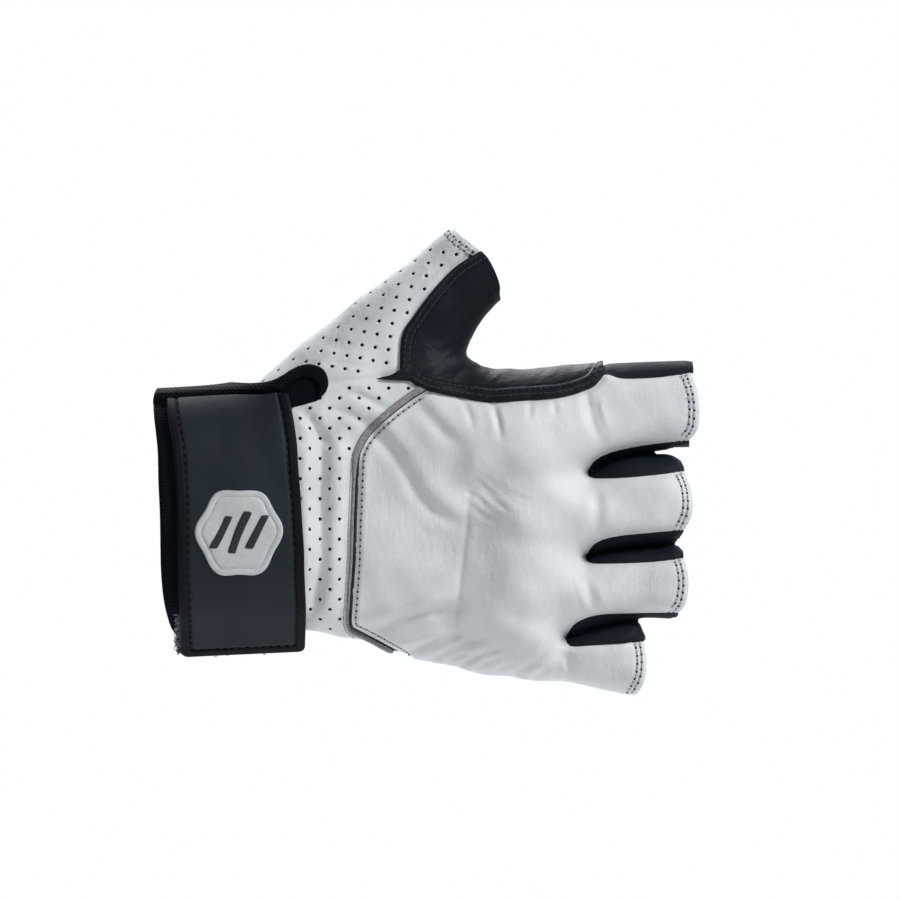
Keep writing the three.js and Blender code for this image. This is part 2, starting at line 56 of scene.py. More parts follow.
# Lengths below are in millimetres, and points are [x, z] as the back view shows them
MM = 0.001
FIELD_STEP = 0.5  # spacing of the fields over the back view
SKIN_STEP = 0.78  # spacing of the lattice that the form's surface is taken from
FIELD_X, FIELD_Z = (-12, 175), (-66, 102)  # reach of the fields
SKIN_X, SKIN_Y, SKIN_Z = (-8, 171), (-30, 28), (-62, 98)  # reach of the lattice
LEAST_BACK, LEAST_PALM = 6, 7  # the least depths of the form
FAR = 140.0  # beyond every edge of the glove
SEAM_Y = 3.0  # depth of the seam between the back and the palm
SEAM_OVERLAP = 0.02  # how far the panels on its two sides overlap, so that no light shows
CROTCHES = [[132.8, 13.3], [132.3, -12.6], [126.1, -37.6]]  # inner ends of the cuts between the stalls
CROTCH_REACH = 1.7  # how far round them the palm's leather comes forward
CROTCH_Y = -1.5  # and how far forward
WAVE = 6.28  # the turn of one whole wave, in radians
TINY = 1e-9  # keeps a division by a length from failing

# Where the glove ends as the back view shows it. Each line is carried on past the open ends of the
# leather and closed outside by a far line or two far corners. The rounding, in rows of x and reach,
# is how far in from the line the form curves over.
OUTSIDES = {
    "outer edge": (
        [[-14, -38.4], [5, -38], [20, -36.6], [44.3, -35.3], [57.4, -37.8], [64, -39.2], [69.8, -41.7],
         [76, -43.3], [82.6, -45.1], [91.5, -46.5], [100.8, -49], [107, -49.5], [115, -51],
         [124, -51.2], [130, -52.1], [136.4, -53.6], [147.2, -55.8], [168, -59.5]],
        [[168, -FAR], [-14, -FAR]],
        [(0, 33), (45, 31), (60, 32), (76, 30), (92, 26), (107, 20), (124, 12), (150, 10)],
    ),
    "thumb edge": (
        [[-14, 36.8], [0, 37.2], [12, 37.8], [22, 38.8], [29.5, 41.2], [35.6, 46.2], [43.4, 53], [49.6, 57.8],
         [55.8, 62.4], [62, 68], [68.2, 72.4], [74.4, 76.9], [80.6, 81.8], [86.8, 86.9], [96, 94.6],
         [112, 108]],
        [[112, FAR], [-14, FAR]],
        [(0, 33), (30, 27), (50, 21), (70, 16), (95, 13)],
    ),
    "web": (
        [[126, 86], [114, 75], [105.4, 67.4], [102.3, 64.4], [99.2, 60.6], [96.3, 56], [94.6, 51.8], [95, 49],
         [97.7, 46.9], [102.9, 45.4], [111.6, 45.1], [124, 46.2], [137.3, 47.2], [150, 47.8], [164, 48.3],
         [186, 49.2]],
        [[186, FAR], [126, FAR]],
        [(95, 14), (120, 13), (135, 12), (150, 11.5)],
    ),
    "index and middle": (
        [[186, 21.6], [164, 21], [158, 20.6], [151.9, 19.8], [148, 19.26], [145.7, 18.75], [139.5, 17.05],
         [135.8, 15.1], [132.8, 13.3]],
        [[132.8, 13.25], [135.8, 15], [139.5, 16.95], [145.7, 18.65], [148, 19.1], [151.9, 19.2], [156, 19.3],
         [159, 18.9], [161.6, 17.6], [163.6, 15.6], [170, 8]],
        [(132, 15), (145, 11.5), (160, 10.5)],
    ),
    "middle and ring": (
        [[186, -5], [166, -6.6], [161, -7.9], [155, -8.95], [145, -9.75], [137, -10.95], [132.4, -12.65]],
        [[132.4, -12.75], [137, -11.05], [145, -9.85], [155, -9.1], [159.5, -8.6], [163, -10], [170, -14]],
        [(132, 15), (145, 11.5), (160, 10.5)],
    ),
    "ring and little": (
        [[186, -32.6], [161, -32.3], [155, -32], [150, -31.9], [145, -32.4], [137, -34], [130, -36.1],
         [126.2, -37.55]],
        [[126.2, -37.65], [130, -36.2], [137, -34.1], [145, -32.5], [148.4, -32.6], [149.6, -34.2],
         [150.8, -37], [156, -46]],
        [(124, 15), (140, 11), (152, 9.5)],
    ),
}

# Depths of the back and of the palm side from the plane where they meet
DEPTHS = {
    "columns": ("x", "z", "back", "palm"),
    "rows": [
        (-8, 0, 25.2, 24.2), (0, 0, 25, 24), (20, 0, 24, 23.5), (45, 0, 22.5, 22.5),
        (45, -25, 22, 22), (60, -20, 19.6, 22), (60, 12, 19.8, 22), (76, -25, 19.4, 21),
        (76, 10, 20, 21), (92, -30, 19.3, 19), (92, 5, 20, 19), (92, 30, 18.4, 19),
        (107, -34, 18, 17), (107, 0, 19.6, 17), (107, 30, 18.4, 17),
        (118, 30, 17, 14), (132, 30, 15.4, 12.6), (142, 31, 13.2, 11.9), (164, 34, 12, 11.6),
        (118, 5, 19.2, 12.6), (132, 1, 17.8, 11.4), (143, 3, 15, 10.2), (162, 6, 14, 10),
        (118, -21, 18.7, 13.2), (132, -23, 16.4, 12.2), (143, -22, 13.4, 11.6),
        (161, -21, 12.2, 11.4), (117, -41, 13.6, 13.4), (128, -43, 11.4, 13.7),
        (139, -44, 9.5, 13.3), (150, -45, 8.6, 13.1),
        (50, 37, 18.6, 22.6), (63, 46.6, 15.8, 20), (75.5, 57.6, 12.8, 17.6),
        (86.7, 68, 11, 15.5), (98.5, 78, 9.8, 14.3), (112, 90, 9.4, 14),
        (88, 50, 10.5, 13.5), (98, 41, 14.5, 15),
    ],
}

# Folds of the back: width, rise, which is negative in a valley, and the line that each follows.
# A long fold rises less towards its ends, and lips stand beside it.
FOLD_END, FOLD_END_RISE = 6, 0.25
LIP_PLACE, LIP_RISE = 1.9, 0.2  # in widths and rises of the fold
EDGE_RELIEF = 0.03  # how far a fold that meets the outline pulls it in
EDGE_RELIEF_END, EDGE_RELIEF_FADE = 126, 6  # the x where that ends, and over how much it fades
FOLDS = {
    "swelling over the knuckles": (10, 1.3, [[107, -34], [109.5, -22], [111, 0], [112, 20], [111, 34]]),
    "index knuckle": (6, 0.5, [[113, 17], [114.5, 22]]),
    "middle knuckle": (5.5, 1.2, [[109, 0], [113, -4]]),
    "ring knuckle": (5.5, 1.0, [[108, -20], [112, -22]]),
    "little knuckle": (5.5, 0.8, [[114, -35], [118, -37]]),
    "low ground above the crease": (6, -1, [[98, 4], [106, 12], [110, 20]]),
    "long valley from the thumb root": (
        2.2, -1.1, [[63.5, 31], [66.5, 27], [70, 23], [73.4, 19], [76.2, 14.2], [79, 9], [82.2, 5],
                    [85.3, 1.9], [89.9, -0.6], [94.6, -2.4]]),
    "second valley": (2.2, -1.1, [[79.5, 36], [82.2, 32.6], [85.3, 29], [88.4, 25.8], [93, 22.5]]),
    "crease before the knuckles": (
        0.9, -0.22, [[96, 6], [95.2, 1], [94.9, -4], [93.9, -12], [93, -20], [92.1, -29.1], [91.5, -35.3]]),
    "hollow between middle and ring": (4, -1.2, [[101, -3.6], [108, -5.4], [116, -7.6], [126, -9.9]]),
    "hollow between ring and little": (3.6, -1.1, [[104, -29.6], [112, -30.8], [122, -35]]),
    "hollow between index and middle": (4.2, -1, [[108, 8.6], [118, 11.8], [129, 13]]),
    "fine crease one": (0.75, -0.5, [[98.6, 9.6], [104, 4.6], [110, 0.3]]),
    "fine crease two": (0.7, -0.45, [[97, 12.6], [102, 8.2], [107, 4.8]]),
    "fine crease three": (0.7, -0.42, [[100.5, 12.4], [106, 7.6], [112, 3.4]]),
    "fine crease four": (0.7, -0.4, [[94, 8], [98.6, 5.6], [103, 1]]),
    "fine crease five": (0.7, -0.42, [[96, 3.4], [100, 0.4], [105, -2.2]]),
    "fine crease six": (0.65, -0.34, [[104.5, 10.8], [109, 7], [115, 4.6]]),
    "fine crease seven": (0.65, -0.3, [[93, 15.4], [96.5, 11.6], [99, 10.4]]),
    "crease under the patch": (1, -1.1, [[102.4, 36.4], [104.4, 30.5], [105.6, 24]]),
    "crease under the patch, middle": (0.8, -0.65, [[114.7, 36.5], [114.2, 29.8]]),
    "crease under the patch, end": (0.8, -0.6, [[121.4, 36.6], [122.6, 31]]),
    "crease under the patch, start": (1, -0.6, [[93, 37], [96, 31], [97, 27]]),
    "crease at the index root": (1.7, -1.4, [[131.6, 39.6], [132.6, 35], [134, 29], [136.4, 23]]),
    "fine crease at the index root": (0.8, -0.5, [[135, 38], [135.6, 32], [138, 25.4]]),
    "crease at the ring root": (1.7, -1.2, [[131.4, -19], [133.4, -24.6], [135.4, -30.5]]),
    "fine crease at the ring root": (0.8, -0.5, [[129, -24], [130.4, -29], [131.6, -31.6]]),
    "crease at the middle root": (1.8, -0.9, [[134.3, 9], [135.3, 2], [134.6, -6]]),
    "soft ridge above the outer edge": (2.6, 1.2, [[59.5, -33.6], [72, -28.8], [82, -25.6], [91, -23.2]]),
    "valley above the outer edge": (1.7, -1.3, [[66, -35.6], [78, -31], [91.5, -28]]),
    "lower ridge": (1.8, 0.9, [[69.8, -40.4], [80, -38], [93, -34.6]]),
    "lower crease one": (1.1, -1, [[74, -43.6], [76.6, -42], [84, -38.9], [92, -36.6]]),
    "lower crease two": (1.1, -1, [[81, -46], [84, -44.4], [91, -41], [99, -38.4]]),
    "lower crease three": (1, -0.9, [[90.5, -48], [93, -46], [100, -42.6], [107, -40.6]]),
    "lower crease four": (1.2, -1, [[107, -52], [110, -48.8], [115.6, -45.4], [121, -41.4]]),
    "lower crease five": (1, -0.9, [[112.5, -53], [115, -50.4], [119.6, -47.6], [124, -43.4]]),
    "lower crease six": (0.9, -0.6, [[96, -49.4], [101, -45], [109, -43.4]]),
    "lower crease seven": (0.9, -0.55, [[101, -50.6], [105.6, -46.8], [112, -45.4]]),
    "lower crease ten": (0.9, -0.6, [[86.6, -47], [92, -43.2], [99, -42]]),
    "bright ridge along the edge": (1.6, 0.8, [[84, -42.4], [92, -40], [100, -41.6], [108, -46.6]]),
    "fold at the little finger": (1.5, -1.4, [[122.5, -47.6], [124.6, -43.1], [127, -46], [128.7, -51]]),
    "valley beside the strap": (
        2.2, -2.3, [[49.4, 25], [50.2, 15.5], [49.9, 6], [50.2, -4], [50.4, -10], [49.8, -18], [48.4, -26],
                    [47, -32.2]]),
    "valley under the slit": (1.6, -1.3, [[44, 33.5], [48, 28], [52.7, 21.5]]),
    "soft ridge beside the valley": (2.2, 1, [[56, 26], [56.6, 12], [55.8, -4]]),
    "slant crease by the thumb seam": (1.3, -0.9, [[57, 39], [64, 36.4], [71.3, 32.6]]),
    "slant crease below it": (1.3, -0.8, [[52.6, 33], [59, 31.4], [65.5, 27.4]]),
    "slant crease above the seam": (1.4, -0.4, [[50, 46], [58, 47], [66, 45]]),
    "crease over the thumb root": (1.6, -0.4, [[47, 55], [56, 52.4], [64, 53]]),
    "crease under the thumb's end": (1.5, -0.6, [[76, 70], [83, 73], [88, 78]]),
}

# Places where the back is lower beside a line: the reach of the ground on the line's left, which
# ends sharply at the line, that on its right, which ends smoothly, the rise, and the line
SLOPE_END, SLOPE_SPREAD = 7, 0.5  # how far it goes on past the line's ends, and more farther out
SLOPES = {
    "low ground before the knuckles": (
        15, 38, -5.4, [[96, 7], [95.2, 1], [94.9, -4], [93.9, -12], [93, -20], [92.1, -29.1], [91.5, -36]]),
    "dip beside the strap": (9, 3.5, -1.9, [[50.6, 22], [50.4, 4], [50.4, -12], [49.4, -22]]),
    "dip beside the welt": (9, 5, -1.8, [[60.8, 10], [60.3, 0], [59.8, -13.6], [59, -26], [58.5, -33]]),
}

# Steps of the back, from low on the left of a line to high on its right: how wide the step is, how
# far it is felt, its height, and the line
STEP_END = 5  # how far a step goes on past the line's ends
STEPS = {
    "step along the long valley": (
        3.3, 13, 2.4, [[92, -1.4], [86.2, 1.5], [82.4, 5], [79.5, 9.2], [76.2, 14.6], [73.2, 19.6],
                       [69.8, 23.8], [66, 28]]),
    "step along the second valley": (
        2.2, 8, 0.9, [[93, 22.5], [88.4, 25.8], [85.3, 29], [82.2, 32.6], [79.5, 36]]),
}

# Seam lines between the panels, their open ends, and the edges of the tapes and the strap
LINES = {
    "cuff": [[-1, 42], [-1.8, 35.5], [0, 20], [0.8, 0], [1.4, -22], [3.2, -33], [5.6, -38], [8.6, -46]],
    "thumb_seam": [[5.6, 37.6], [30, 38], [45, 40.4], [54, 41.7], [67, 42.5]],
    "welt": [[82.2, 39.7], [77.5, 36.6], [71.3, 31.9], [65.1, 26], [62.3, 21.6], [61.2, 18], [60.8, 12],
             [60.3, 0], [59.8, -13.6], [59, -26], [58.5, -32.4], [59.4, -35.4], [62.6, -37], [71, -41.6],
             [76, -45], [81, -53]],
    "patch_thumb": [[99.4, 82], [91.5, 76.9], [84.9, 70.1], [78.5, 61.5], [75.2, 55.8], [74.4, 45.2]],
    "spur": [[74.4, 45.2], [71.3, 43.5], [67, 42.5], [71, 42.2], [77.5, 41.9]],
    "patch_back": [[77.5, 41.9], [79.8, 40.4], [84.2, 38.6], [96, 36.3], [103, 35.4], [111, 35.9],
                   [124, 36.9], [133, 39.6], [136.2, 42.4], [137.3, 44.1]],
    "index_top": [[137.3, 44.1], [139, 44.3], [143, 43], [150, 43], [157, 43.6], [164.3, 44.8]],
    "index_end": [[164.3, 44.8], [166.3, 38.5], [166.9, 32], [166.2, 26.4], [163.9, 23]],
    "index_low": [[163.9, 23], [152, 21.7], [141, 19.6], [135, 16.8], [132.8, 13.3]],
    "middle_top": [[132.8, 13.3], [134, 12.3], [142, 12.2], [152, 13], [162.6, 14.3]],
    "middle_end": [[162.6, 14.3], [164.4, 9.6], [165, 4], [164.3, -0.6], [162.4, -4.6]],
    "middle_low": [[162.4, -4.6], [152, -5.5], [141, -6.7], [135, -8.8], [132.3, -12.6]],
    "ring_top": [[132.3, -12.6], [133.5, -14], [142, -14.1], [152, -13.7], [162.3, -12.5]],
    "ring_end": [[162.3, -12.5], [163.4, -17], [163.6, -22], [162.6, -27.5], [160.6, -30.3]],
    "ring_low": [[160.6, -30.3], [148, -30.5], [136, -30.9], [129, -33.4], [126.1, -37.6]],
    "little_top": [[126.1, -37.6], [127, -39.7], [134, -39.6], [143, -39.2], [150.3, -38.5]],
    "little_end": [[150.3, -38.5], [150.9, -44], [150.4, -50], [147.9, -55.4], [145, -60]],
    "thumb_end": [[85, 97], [91.5, 88.4], [95.5, 85], [99.4, 82]],
    "thumb_end_low": [[99.4, 82], [102.3, 78.6], [105, 72.4], [105.5, 67.4], [109, 62]],
    "tape_upper": [[2.6, 42], [12, 41], [17, 40.3], [22, 39.6], [27, 39.5], [31, 39.9], [35.7, 40.9],
                   [38.8, 42.4], [41, 44.2]],
    "tape_end": [
        [41, 44.2], [44.5, 46.2], [48, 46.5], [51.2, 44.9], [52.5, 41.4], [51.6, 38.2], [49.4, 36.2]],
    "tape_hollow": [[49, 36.4], [49.4, 39.4], [47.6, 41.9], [44.4, 42.4], [40.6, 40.2], [38, 37.7]],
    "tape_lower": [[38, 37.7], [32.5, 36.6], [20, 35.8], [4, 34.8], [-1.9, 34.6]],
    "tape_corner": [[-1.9, 34.6], [-1.8, 36], [-1.1, 37.7], [0.2, 39.4], [2.6, 42]],
    "strap_left": [[1.9, 37.5], [3.4, 28], [5.2, 17], [6.1, 0], [6.4, -26], [6.6, -43.8]],
    "strap_right": [[40.6, 37.5], [42, 29], [43, 17], [44.3, 0], [45.2, -25], [44.6, -42.2]],
}


# Small helpers


def unit(ways):
    """The same ways with a length of one."""
    return ways / np.maximum(np.linalg.norm(ways, axis=-1, keepdims=True), TINY)


def bump(gap, width):
    """Height of a ridge that is one high, at a gap from its crest."""
    return np.exp(-((gap / width) ** 2))


def rounded(depth, radius):
    """Height of a rounded edge, from 0 on the edge to 1 from the radius on."""
    return np.sqrt(np.maximum(1 - (1 - np.clip(depth / radius, 0, 1)) ** 2, 0))


def ridges(rows, gap):
    """Height of ridges beside a line, from rows of place, rise and width, at a gap from the line."""
    return sum(rise * bump(gap - place, width) for place, rise, width in rows)


def scaled(colour, by):
    """A colour made lighter or darker."""
    return tuple(by * c for c in colour)


# Lines over the back view


def smooth_line(points, step=1.0):
    """Points of a smooth curve through the given ones, about a step apart."""
    p = np.asarray(points, float)
    p = np.vstack([2 * p[0] - p[1], p, 2 * p[-1] - p[-2]])
    out = []
    for a, b, c, d in zip(p[:-3], p[1:-2], p[2:-1], p[3:]):
        t = np.linspace(0, 1, max(2, round(np.linalg.norm(c - b) / step) + 1))[:-1, None]
        square, cube = 2 * a - 5 * b + 4 * c - d, 3 * b - a - 3 * c + d
        out.append(0.5 * (2 * b + (c - a) * t + square * t**2 + cube * t**3))
    return np.vstack([*out, p[-2:-1]])


def seam(name, back=False, step=1.0):
    """A line of the table as a smooth curve, run backwards if asked."""
    line = smooth_line(LINES[name], step)
    return line[::-1] if back else line


def lengths_along(line):
    """How far along a line each of its points is."""
    return np.concatenate([[0], np.cumsum(np.linalg.norm(np.diff(line, axis=0), axis=1))])


def near_line(line, x, z):
    """How far points lie from a line, and how far along it their nearest place is."""
    x, z = np.asarray(x, float).ravel(), np.asarray(z, float).ravel()
    a, d = line[:-1], np.diff(line, axis=0)
    square = np.maximum((d**2).sum(1), 1e-12)
    starts, size = lengths_along(line)[:-1], np.sqrt(square)
    gap, along = np.empty(len(x)), np.empty(len(x))
    part = max(1, 3_000_000 // len(a))
    for i in range(0, len(x), part):
        px, pz = x[i : i + part, None] - a[:, 0], z[i : i + part, None] - a[:, 1]
        t = np.clip((px * d[:, 0] + pz * d[:, 1]) / square, 0, 1)
        far = (px - t * d[:, 0]) ** 2 + (pz - t * d[:, 1]) ** 2
        k = far.argmin(1)
        row = np.arange(len(k))
        gap[i : i + part] = np.sqrt(far[row, k])
        along[i : i + part] = starts[k] + t[row, k] * size[k]
    return gap, along


def across_line(line, x, z):
    """How far points lie to the left of a line, carried on straight, and how far past its ends."""
    gap, along = near_line(line, x, z)
    k = np.clip(np.searchsorted(lengths_along(line), along, side="right") - 1, 0, len(line) - 2)
    a, d = line[k], line[k + 1] - line[k]
    left = (d[:, 0] * (z - a[:, 1]) - d[:, 1] * (x - a[:, 0])) / np.linalg.norm(d, axis=1)
    return left, np.sqrt(np.maximum(gap**2 - left**2, 0))


def inside_outline(outline, x, z):
    """How deep points lie inside a closed outline; it is negative outside."""
    x, z = np.asarray(x, float).ravel(), np.asarray(z, float).ravel()
    ring = np.vstack([outline, outline[:1]])
    gap, _ = near_line(ring, x, z)
    within = np.zeros(len(x), bool)
    for (ax, az), (bx, bz) in zip(ring[:-1], ring[1:]):
        if az != bz:
            within ^= ((az > z) != (bz > z)) & (x < (bx - ax) * (z - az) / (bz - az) + ax)
    return np.where(within, gap, -gap)


def evenly(line, pitch, start=0.0, end=0.0):
    """Places along a line a pitch apart, with the direction of the line there."""
    along = lengths_along(line)
    count = max(1, round((along[-1] - start - end) / pitch))
    at = np.linspace(start, along[-1] - end, count + 1)
    near = 0.2
    ahead = np.stack([np.interp(at + near, along, line[:, k]) for k in (0, 1)], 1)
    behind = np.stack([np.interp(at - near, along, line[:, k]) for k in (0, 1)], 1)
    return (ahead + behind) / 2, unit(ahead - behind)


def beside(line, offset):
    """A line moved sideways, to its left where the offset is positive."""
    way = unit(np.gradient(line, axis=0))
    return line + offset * np.stack([-way[:, 1], way[:, 0]], 1)


def smooth_through(rows, x, z, slack=30):
    """Values of scattered rows carried smoothly over all places, past the rows with some slack."""
    rows = np.array(rows, float)
    at, values = rows[:, :2], rows[:, 2:]

    def bend(r):
        return r**2 * np.log(np.maximum(r, TINY))

    n = len(at)
    between = bend(np.linalg.norm(at[:, None] - at[None], axis=2)) + slack * np.eye(n)
    flat = np.hstack([np.ones((n, 1)), at])
    system = np.block([[between, flat], [flat.T, np.zeros((3, 3))]])
    weights = np.linalg.solve(system, np.vstack([values, np.zeros((3, values.shape[1]))]))
    out = np.empty((len(x), values.shape[1]))
    part = 40_000
    for i in range(0, len(x), part):
        p = np.stack([x[i : i + part], z[i : i + part]], 1)
        r = bend(np.linalg.norm(p[:, None] - at[None], axis=2))
        out[i : i + part] = r @ weights[:n] + weights[n] + p @ weights[n + 1 :]
    return out


# The worn form


class WornForm:
    """The outer face of the leather in its worn form.

    Its fields are the closeness to the outline, the depth of the back and the depth of the palm
    side, then the slopes of the three along x, and those along z.
    """

    def __init__(self):
        self.x = np.arange(*FIELD_X, FIELD_STEP)
        self.z = np.arange(*FIELD_Z, FIELD_STEP)
        gx, gz = (g.ravel() for g in np.meshgrid(self.x, self.z, indexing="ij"))
        closeness = np.zeros(len(gx))
        for line, rest, rounding in OUTSIDES.values():
            far = np.array(rest, float) if len(rest) == 2 else smooth_line(rest)
            depth = -inside_outline(np.vstack([smooth_line(line), far]), gx, gz)
            reach = np.interp(gx, *np.array(rounding, float).T)
            closeness += (1 - np.minimum(depth / reach, 1)) ** 2
        back, palm = smooth_through(DEPTHS["rows"], gx, gz).T
        relief = self.folds(gx, gz) + self.unevenness(gx, gz)
        fade = np.clip((EDGE_RELIEF_END - gx) / EDGE_RELIEF_FADE, 0, 1)
        closeness -= EDGE_RELIEF * relief * closeness**1.5 * fade
        back = np.maximum(back, LEAST_BACK) + relief + self.slopes(gx, gz) + self.steps(gx, gz)
        fields = [closeness, back, np.maximum(palm, LEAST_PALM)]
        grid = np.stack(fields, 1).reshape(len(self.x), len(self.z), len(fields))
        slope_x, slope_z = np.gradient(grid, FIELD_STEP, axis=(0, 1))
        self.fields = np.concatenate([grid, slope_x, slope_z], axis=2)

    def folds(self, x, z):
        """Height of the folds, creases and knuckles."""
        out = np.zeros(len(x))
        for width, rise, points in FOLDS.values():
            line = smooth_line(points, 1.5)
            gap, along = near_line(line, x, z)
            total = lengths_along(line)[-1]
            to_end = np.minimum(along, total - along) / min(FOLD_END, total / 3)
            full = np.clip(to_end, 0, 1) if total > 2 * width else 1.0
            lips = LIP_RISE * bump(gap - LIP_PLACE * width, width)
            out += rise * (FOLD_END_RISE + (1 - FOLD_END_RISE) * full) * (bump(gap, width) - lips * full)
        return out

    def slopes(self, x, z):
        """Height of the low ground beside the slopes' lines."""
        out = np.zeros(len(x))
        for left, right, rise, points in SLOPES.values():
            across, past = across_line(smooth_line(points, 1.5), x, z)
            beyond = np.where(across > 0, across / left, (across / right) ** 2)
            out += rise * np.exp(-beyond - (past / (SLOPE_END + SLOPE_SPREAD * np.abs(across))) ** 2)
        return out

    def steps(self, x, z):
        """Height of the steps: half of each below and half above the ground."""
        out = np.zeros(len(x))
        for width, reach, rise, points in STEPS.values():
            across, past = across_line(smooth_line(points, 1.5), x, z)
            out -= rise / 2 * np.tanh(across / width) * bump(across, reach) * bump(past, STEP_END)
        return out

    def unevenness(self, x, z, waves=22, shortest=9, longest=26, rise=0.0045):
        """Height of many crossing waves, higher the longer they are."""
        rng = np.random.default_rng(11)
        out = np.zeros(len(x))
        for _ in range(waves):
            size, turn, phase = rng.uniform(shortest, longest), rng.uniform(0, math.pi), rng.uniform(0, WAVE)
            across = x * math.cos(turn) + z * math.sin(turn)
            out += rise * size * np.sin(across * WAVE / size + phase)
        return out

    def at(self, x, z):
        """The fields at places of the back view, between the grid's values."""
        u = np.clip((np.asarray(x) - self.x[0]) / FIELD_STEP, 0, len(self.x) - 1.001)
        v = np.clip((np.asarray(z) - self.z[0]) / FIELD_STEP, 0, len(self.z) - 1.001)
        i, j = u.astype(int), v.astype(int)
        s, t = (u - i)[..., None], (v - j)[..., None]
        f = self.fields
        low = f[i, j] * (1 - s) + f[i + 1, j] * s
        high = f[i, j + 1] * (1 - s) + f[i + 1, j + 1] * s
        return low * (1 - t) + high * t

    def level(self, p):
        """Zero on the form and negative inside, and the way in which it grows."""
        f = self.at(p[:, 0], p[:, 2])
        side = np.where(p[:, 1] < 0, 1, 2)
        row = np.arange(len(p))
        depth = f[row, side]
        across = p[:, 1] / depth
        grow = np.empty_like(p)
        for k, start in ((0, 3), (2, 6)):
            grow[:, k] = f[:, start] - 2 * across**2 * f[row, start + side] / depth
        grow[:, 1] = 2 * across / depth
        return across**2 + f[:, 0] - 1, grow

    def settle(self, p, rounds=4, longest=0.6, least_growth=1e-5):
        """Points moved onto the form, in rounds of short steps."""
        for _ in range(rounds):
            value, grow = self.level(p)
            step = value[:, None] * grow / np.maximum((grow**2).sum(1), least_growth)[:, None]
            size = np.linalg.norm(step, axis=1, keepdims=True)
            p = p - step * np.minimum(1, longest / np.maximum(size, TINY))
        return p

    def outward(self, p):
        """The ways out of the form at its points."""
        return unit(self.level(p)[1])

    def on_back(self, x, z):
        """Points of the back at places of the back view."""
        f = self.at(x, z)
        y = -f[..., 1] * np.sqrt(np.maximum(1 - f[..., 0], 0))
        return np.stack([np.asarray(x, float), y, np.asarray(z, float)], -1)

    def skin(self):
        """The whole form's surface as points and triangles.

        Every edge of a lattice that the surface crosses gives a quad between the four cells round
        it, and each cell's point is the middle of the places where its edges are crossed.
        """
        axes = [np.arange(*reach, SKIN_STEP) for reach in (SKIN_X, SKIN_Y, SKIN_Z)]
        gx, gz = np.meshgrid(axes[0], axes[2], indexing="ij")
        f = self.at(gx, gz).astype(np.float32)
        y = axes[1].astype(np.float32)[None, :, None]
        depth = np.where(y < 0, f[:, None, :, 1], f[:, None, :, 2])
        value = (y / depth) ** 2 + f[:, None, :, 0] - 1
        within = value < 0
        shape = np.array(value.shape)
        keys, places, quads = [], [], []
        for axis in range(3):
            low = [slice(None)] * 3
            high = [slice(None)] * 3
            low[axis], high[axis] = slice(None, -1), slice(1, None)
            low, high = tuple(low), tuple(high)
            at = np.argwhere(within[low] != within[high])
            a = value[low][tuple(at.T)]
            b = value[high][tuple(at.T)]
            place = at.astype(float)
            place[:, axis] += a / (a - b)
            u, v = [k for k in range(3) if k != axis]
            around = []
            for du, dv in ((0, 0), (-1, 0), (-1, -1), (0, -1)):
                cell = at.copy()
                cell[:, u] += du
                cell[:, v] += dv
                number = (cell * [shape[1] * shape[2], shape[2], 1]).sum(1)
                keys.append(np.where((cell < 0).any(1), -1, number))
                places.append(place)
                around.append(keys[-1])
            face = np.stack(around, 1)
            turned = (a < 0) == (axis == 1)
            face[turned] = face[turned][:, ::-1]
            quads.append(face[(face >= 0).all(1)])
        cells, where = np.unique(np.concatenate(keys), return_inverse=True)
        places = np.concatenate(places)
        count = np.maximum(np.bincount(where), 1)
        points = np.stack([np.bincount(where, places[:, k]) / count for k in range(3)], 1)
        points = points * SKIN_STEP + [a[0] for a in axes]
        quads = np.searchsorted(cells, np.concatenate(quads))
        for _ in range(3):
            points = self.settle(relaxed(points, quads), 2)
        points = self.settle(points)
        return points, np.vstack([quads[:, [0, 1, 2]], quads[:, [0, 2, 3]]])


def relaxed(points, quads):
    """Each point moved half way to the middle of its neighbours."""
    pairs = np.vstack([quads[:, [k, (k + 1) % 4]] for k in range(4)])
    pairs = np.vstack([pairs, pairs[:, ::-1]])
    count = np.maximum(np.bincount(pairs[:, 0], minlength=len(points)), 1)
    middle = [np.bincount(pairs[:, 0], points[pairs[:, 1], k], len(points)) / count for k in range(3)]
    return (points + np.stack(middle, 1)) / 2


# Cutting and thickening


def cut(points, tris, side, near=0.03):
    """Cuts triangles where the side passes zero; gives points, triangles and each triangle's side.

    Points nearer than a little to the cut count as on it. A triangle with one crossed edge becomes
    two, and one with two crossed edges three.
    """
    side = np.where(np.abs(side) < near, 0.0, side)
    n = len(points)
    ends = tris[:, [0, 1, 1, 2, 2, 0]].reshape(-1, 2)
    ends.sort(axis=1)
    crossing = side[ends[:, 0]] * side[ends[:, 1]] < 0
    key = ends[:, 0].astype(np.int64) * n + ends[:, 1]
    found, which = np.unique(key[crossing], return_inverse=True)
    a, b = found // n, found % n
    t = (side[a] / (side[a] - side[b]))[:, None]
    points = np.vstack([points, points[a] + (points[b] - points[a]) * t])
    side = np.concatenate([side, np.zeros(len(a))])
    middle = np.full(len(ends), -1)
    middle[crossing] = n + which
    middle = middle.reshape(-1, 3)
    count = (middle >= 0).sum(1)
    out = [tris[count == 0]]
    for number in (1, 2):
        some = np.flatnonzero(count == number)
        k = (middle[some] >= 0).argmax(1) if number == 1 else (middle[some] < 0).argmax(1)
        p, q, r = (tris[some, (k + j) % 3] for j in range(3))
        m, m_next, m_last = (middle[some, (k + j) % 3] for j in range(3))
        if number == 1:
            out += [np.stack([p, m, r], 1), np.stack([m, q, r], 1)]
        else:
            corners = ((r, m_last, m_next), (p, q, m_next), (p, m_next, m_last))
            out += [np.stack(three, 1) for three in corners]
    tris = np.vstack(out)
    return points, tris, side[tris].sum(1) > 0


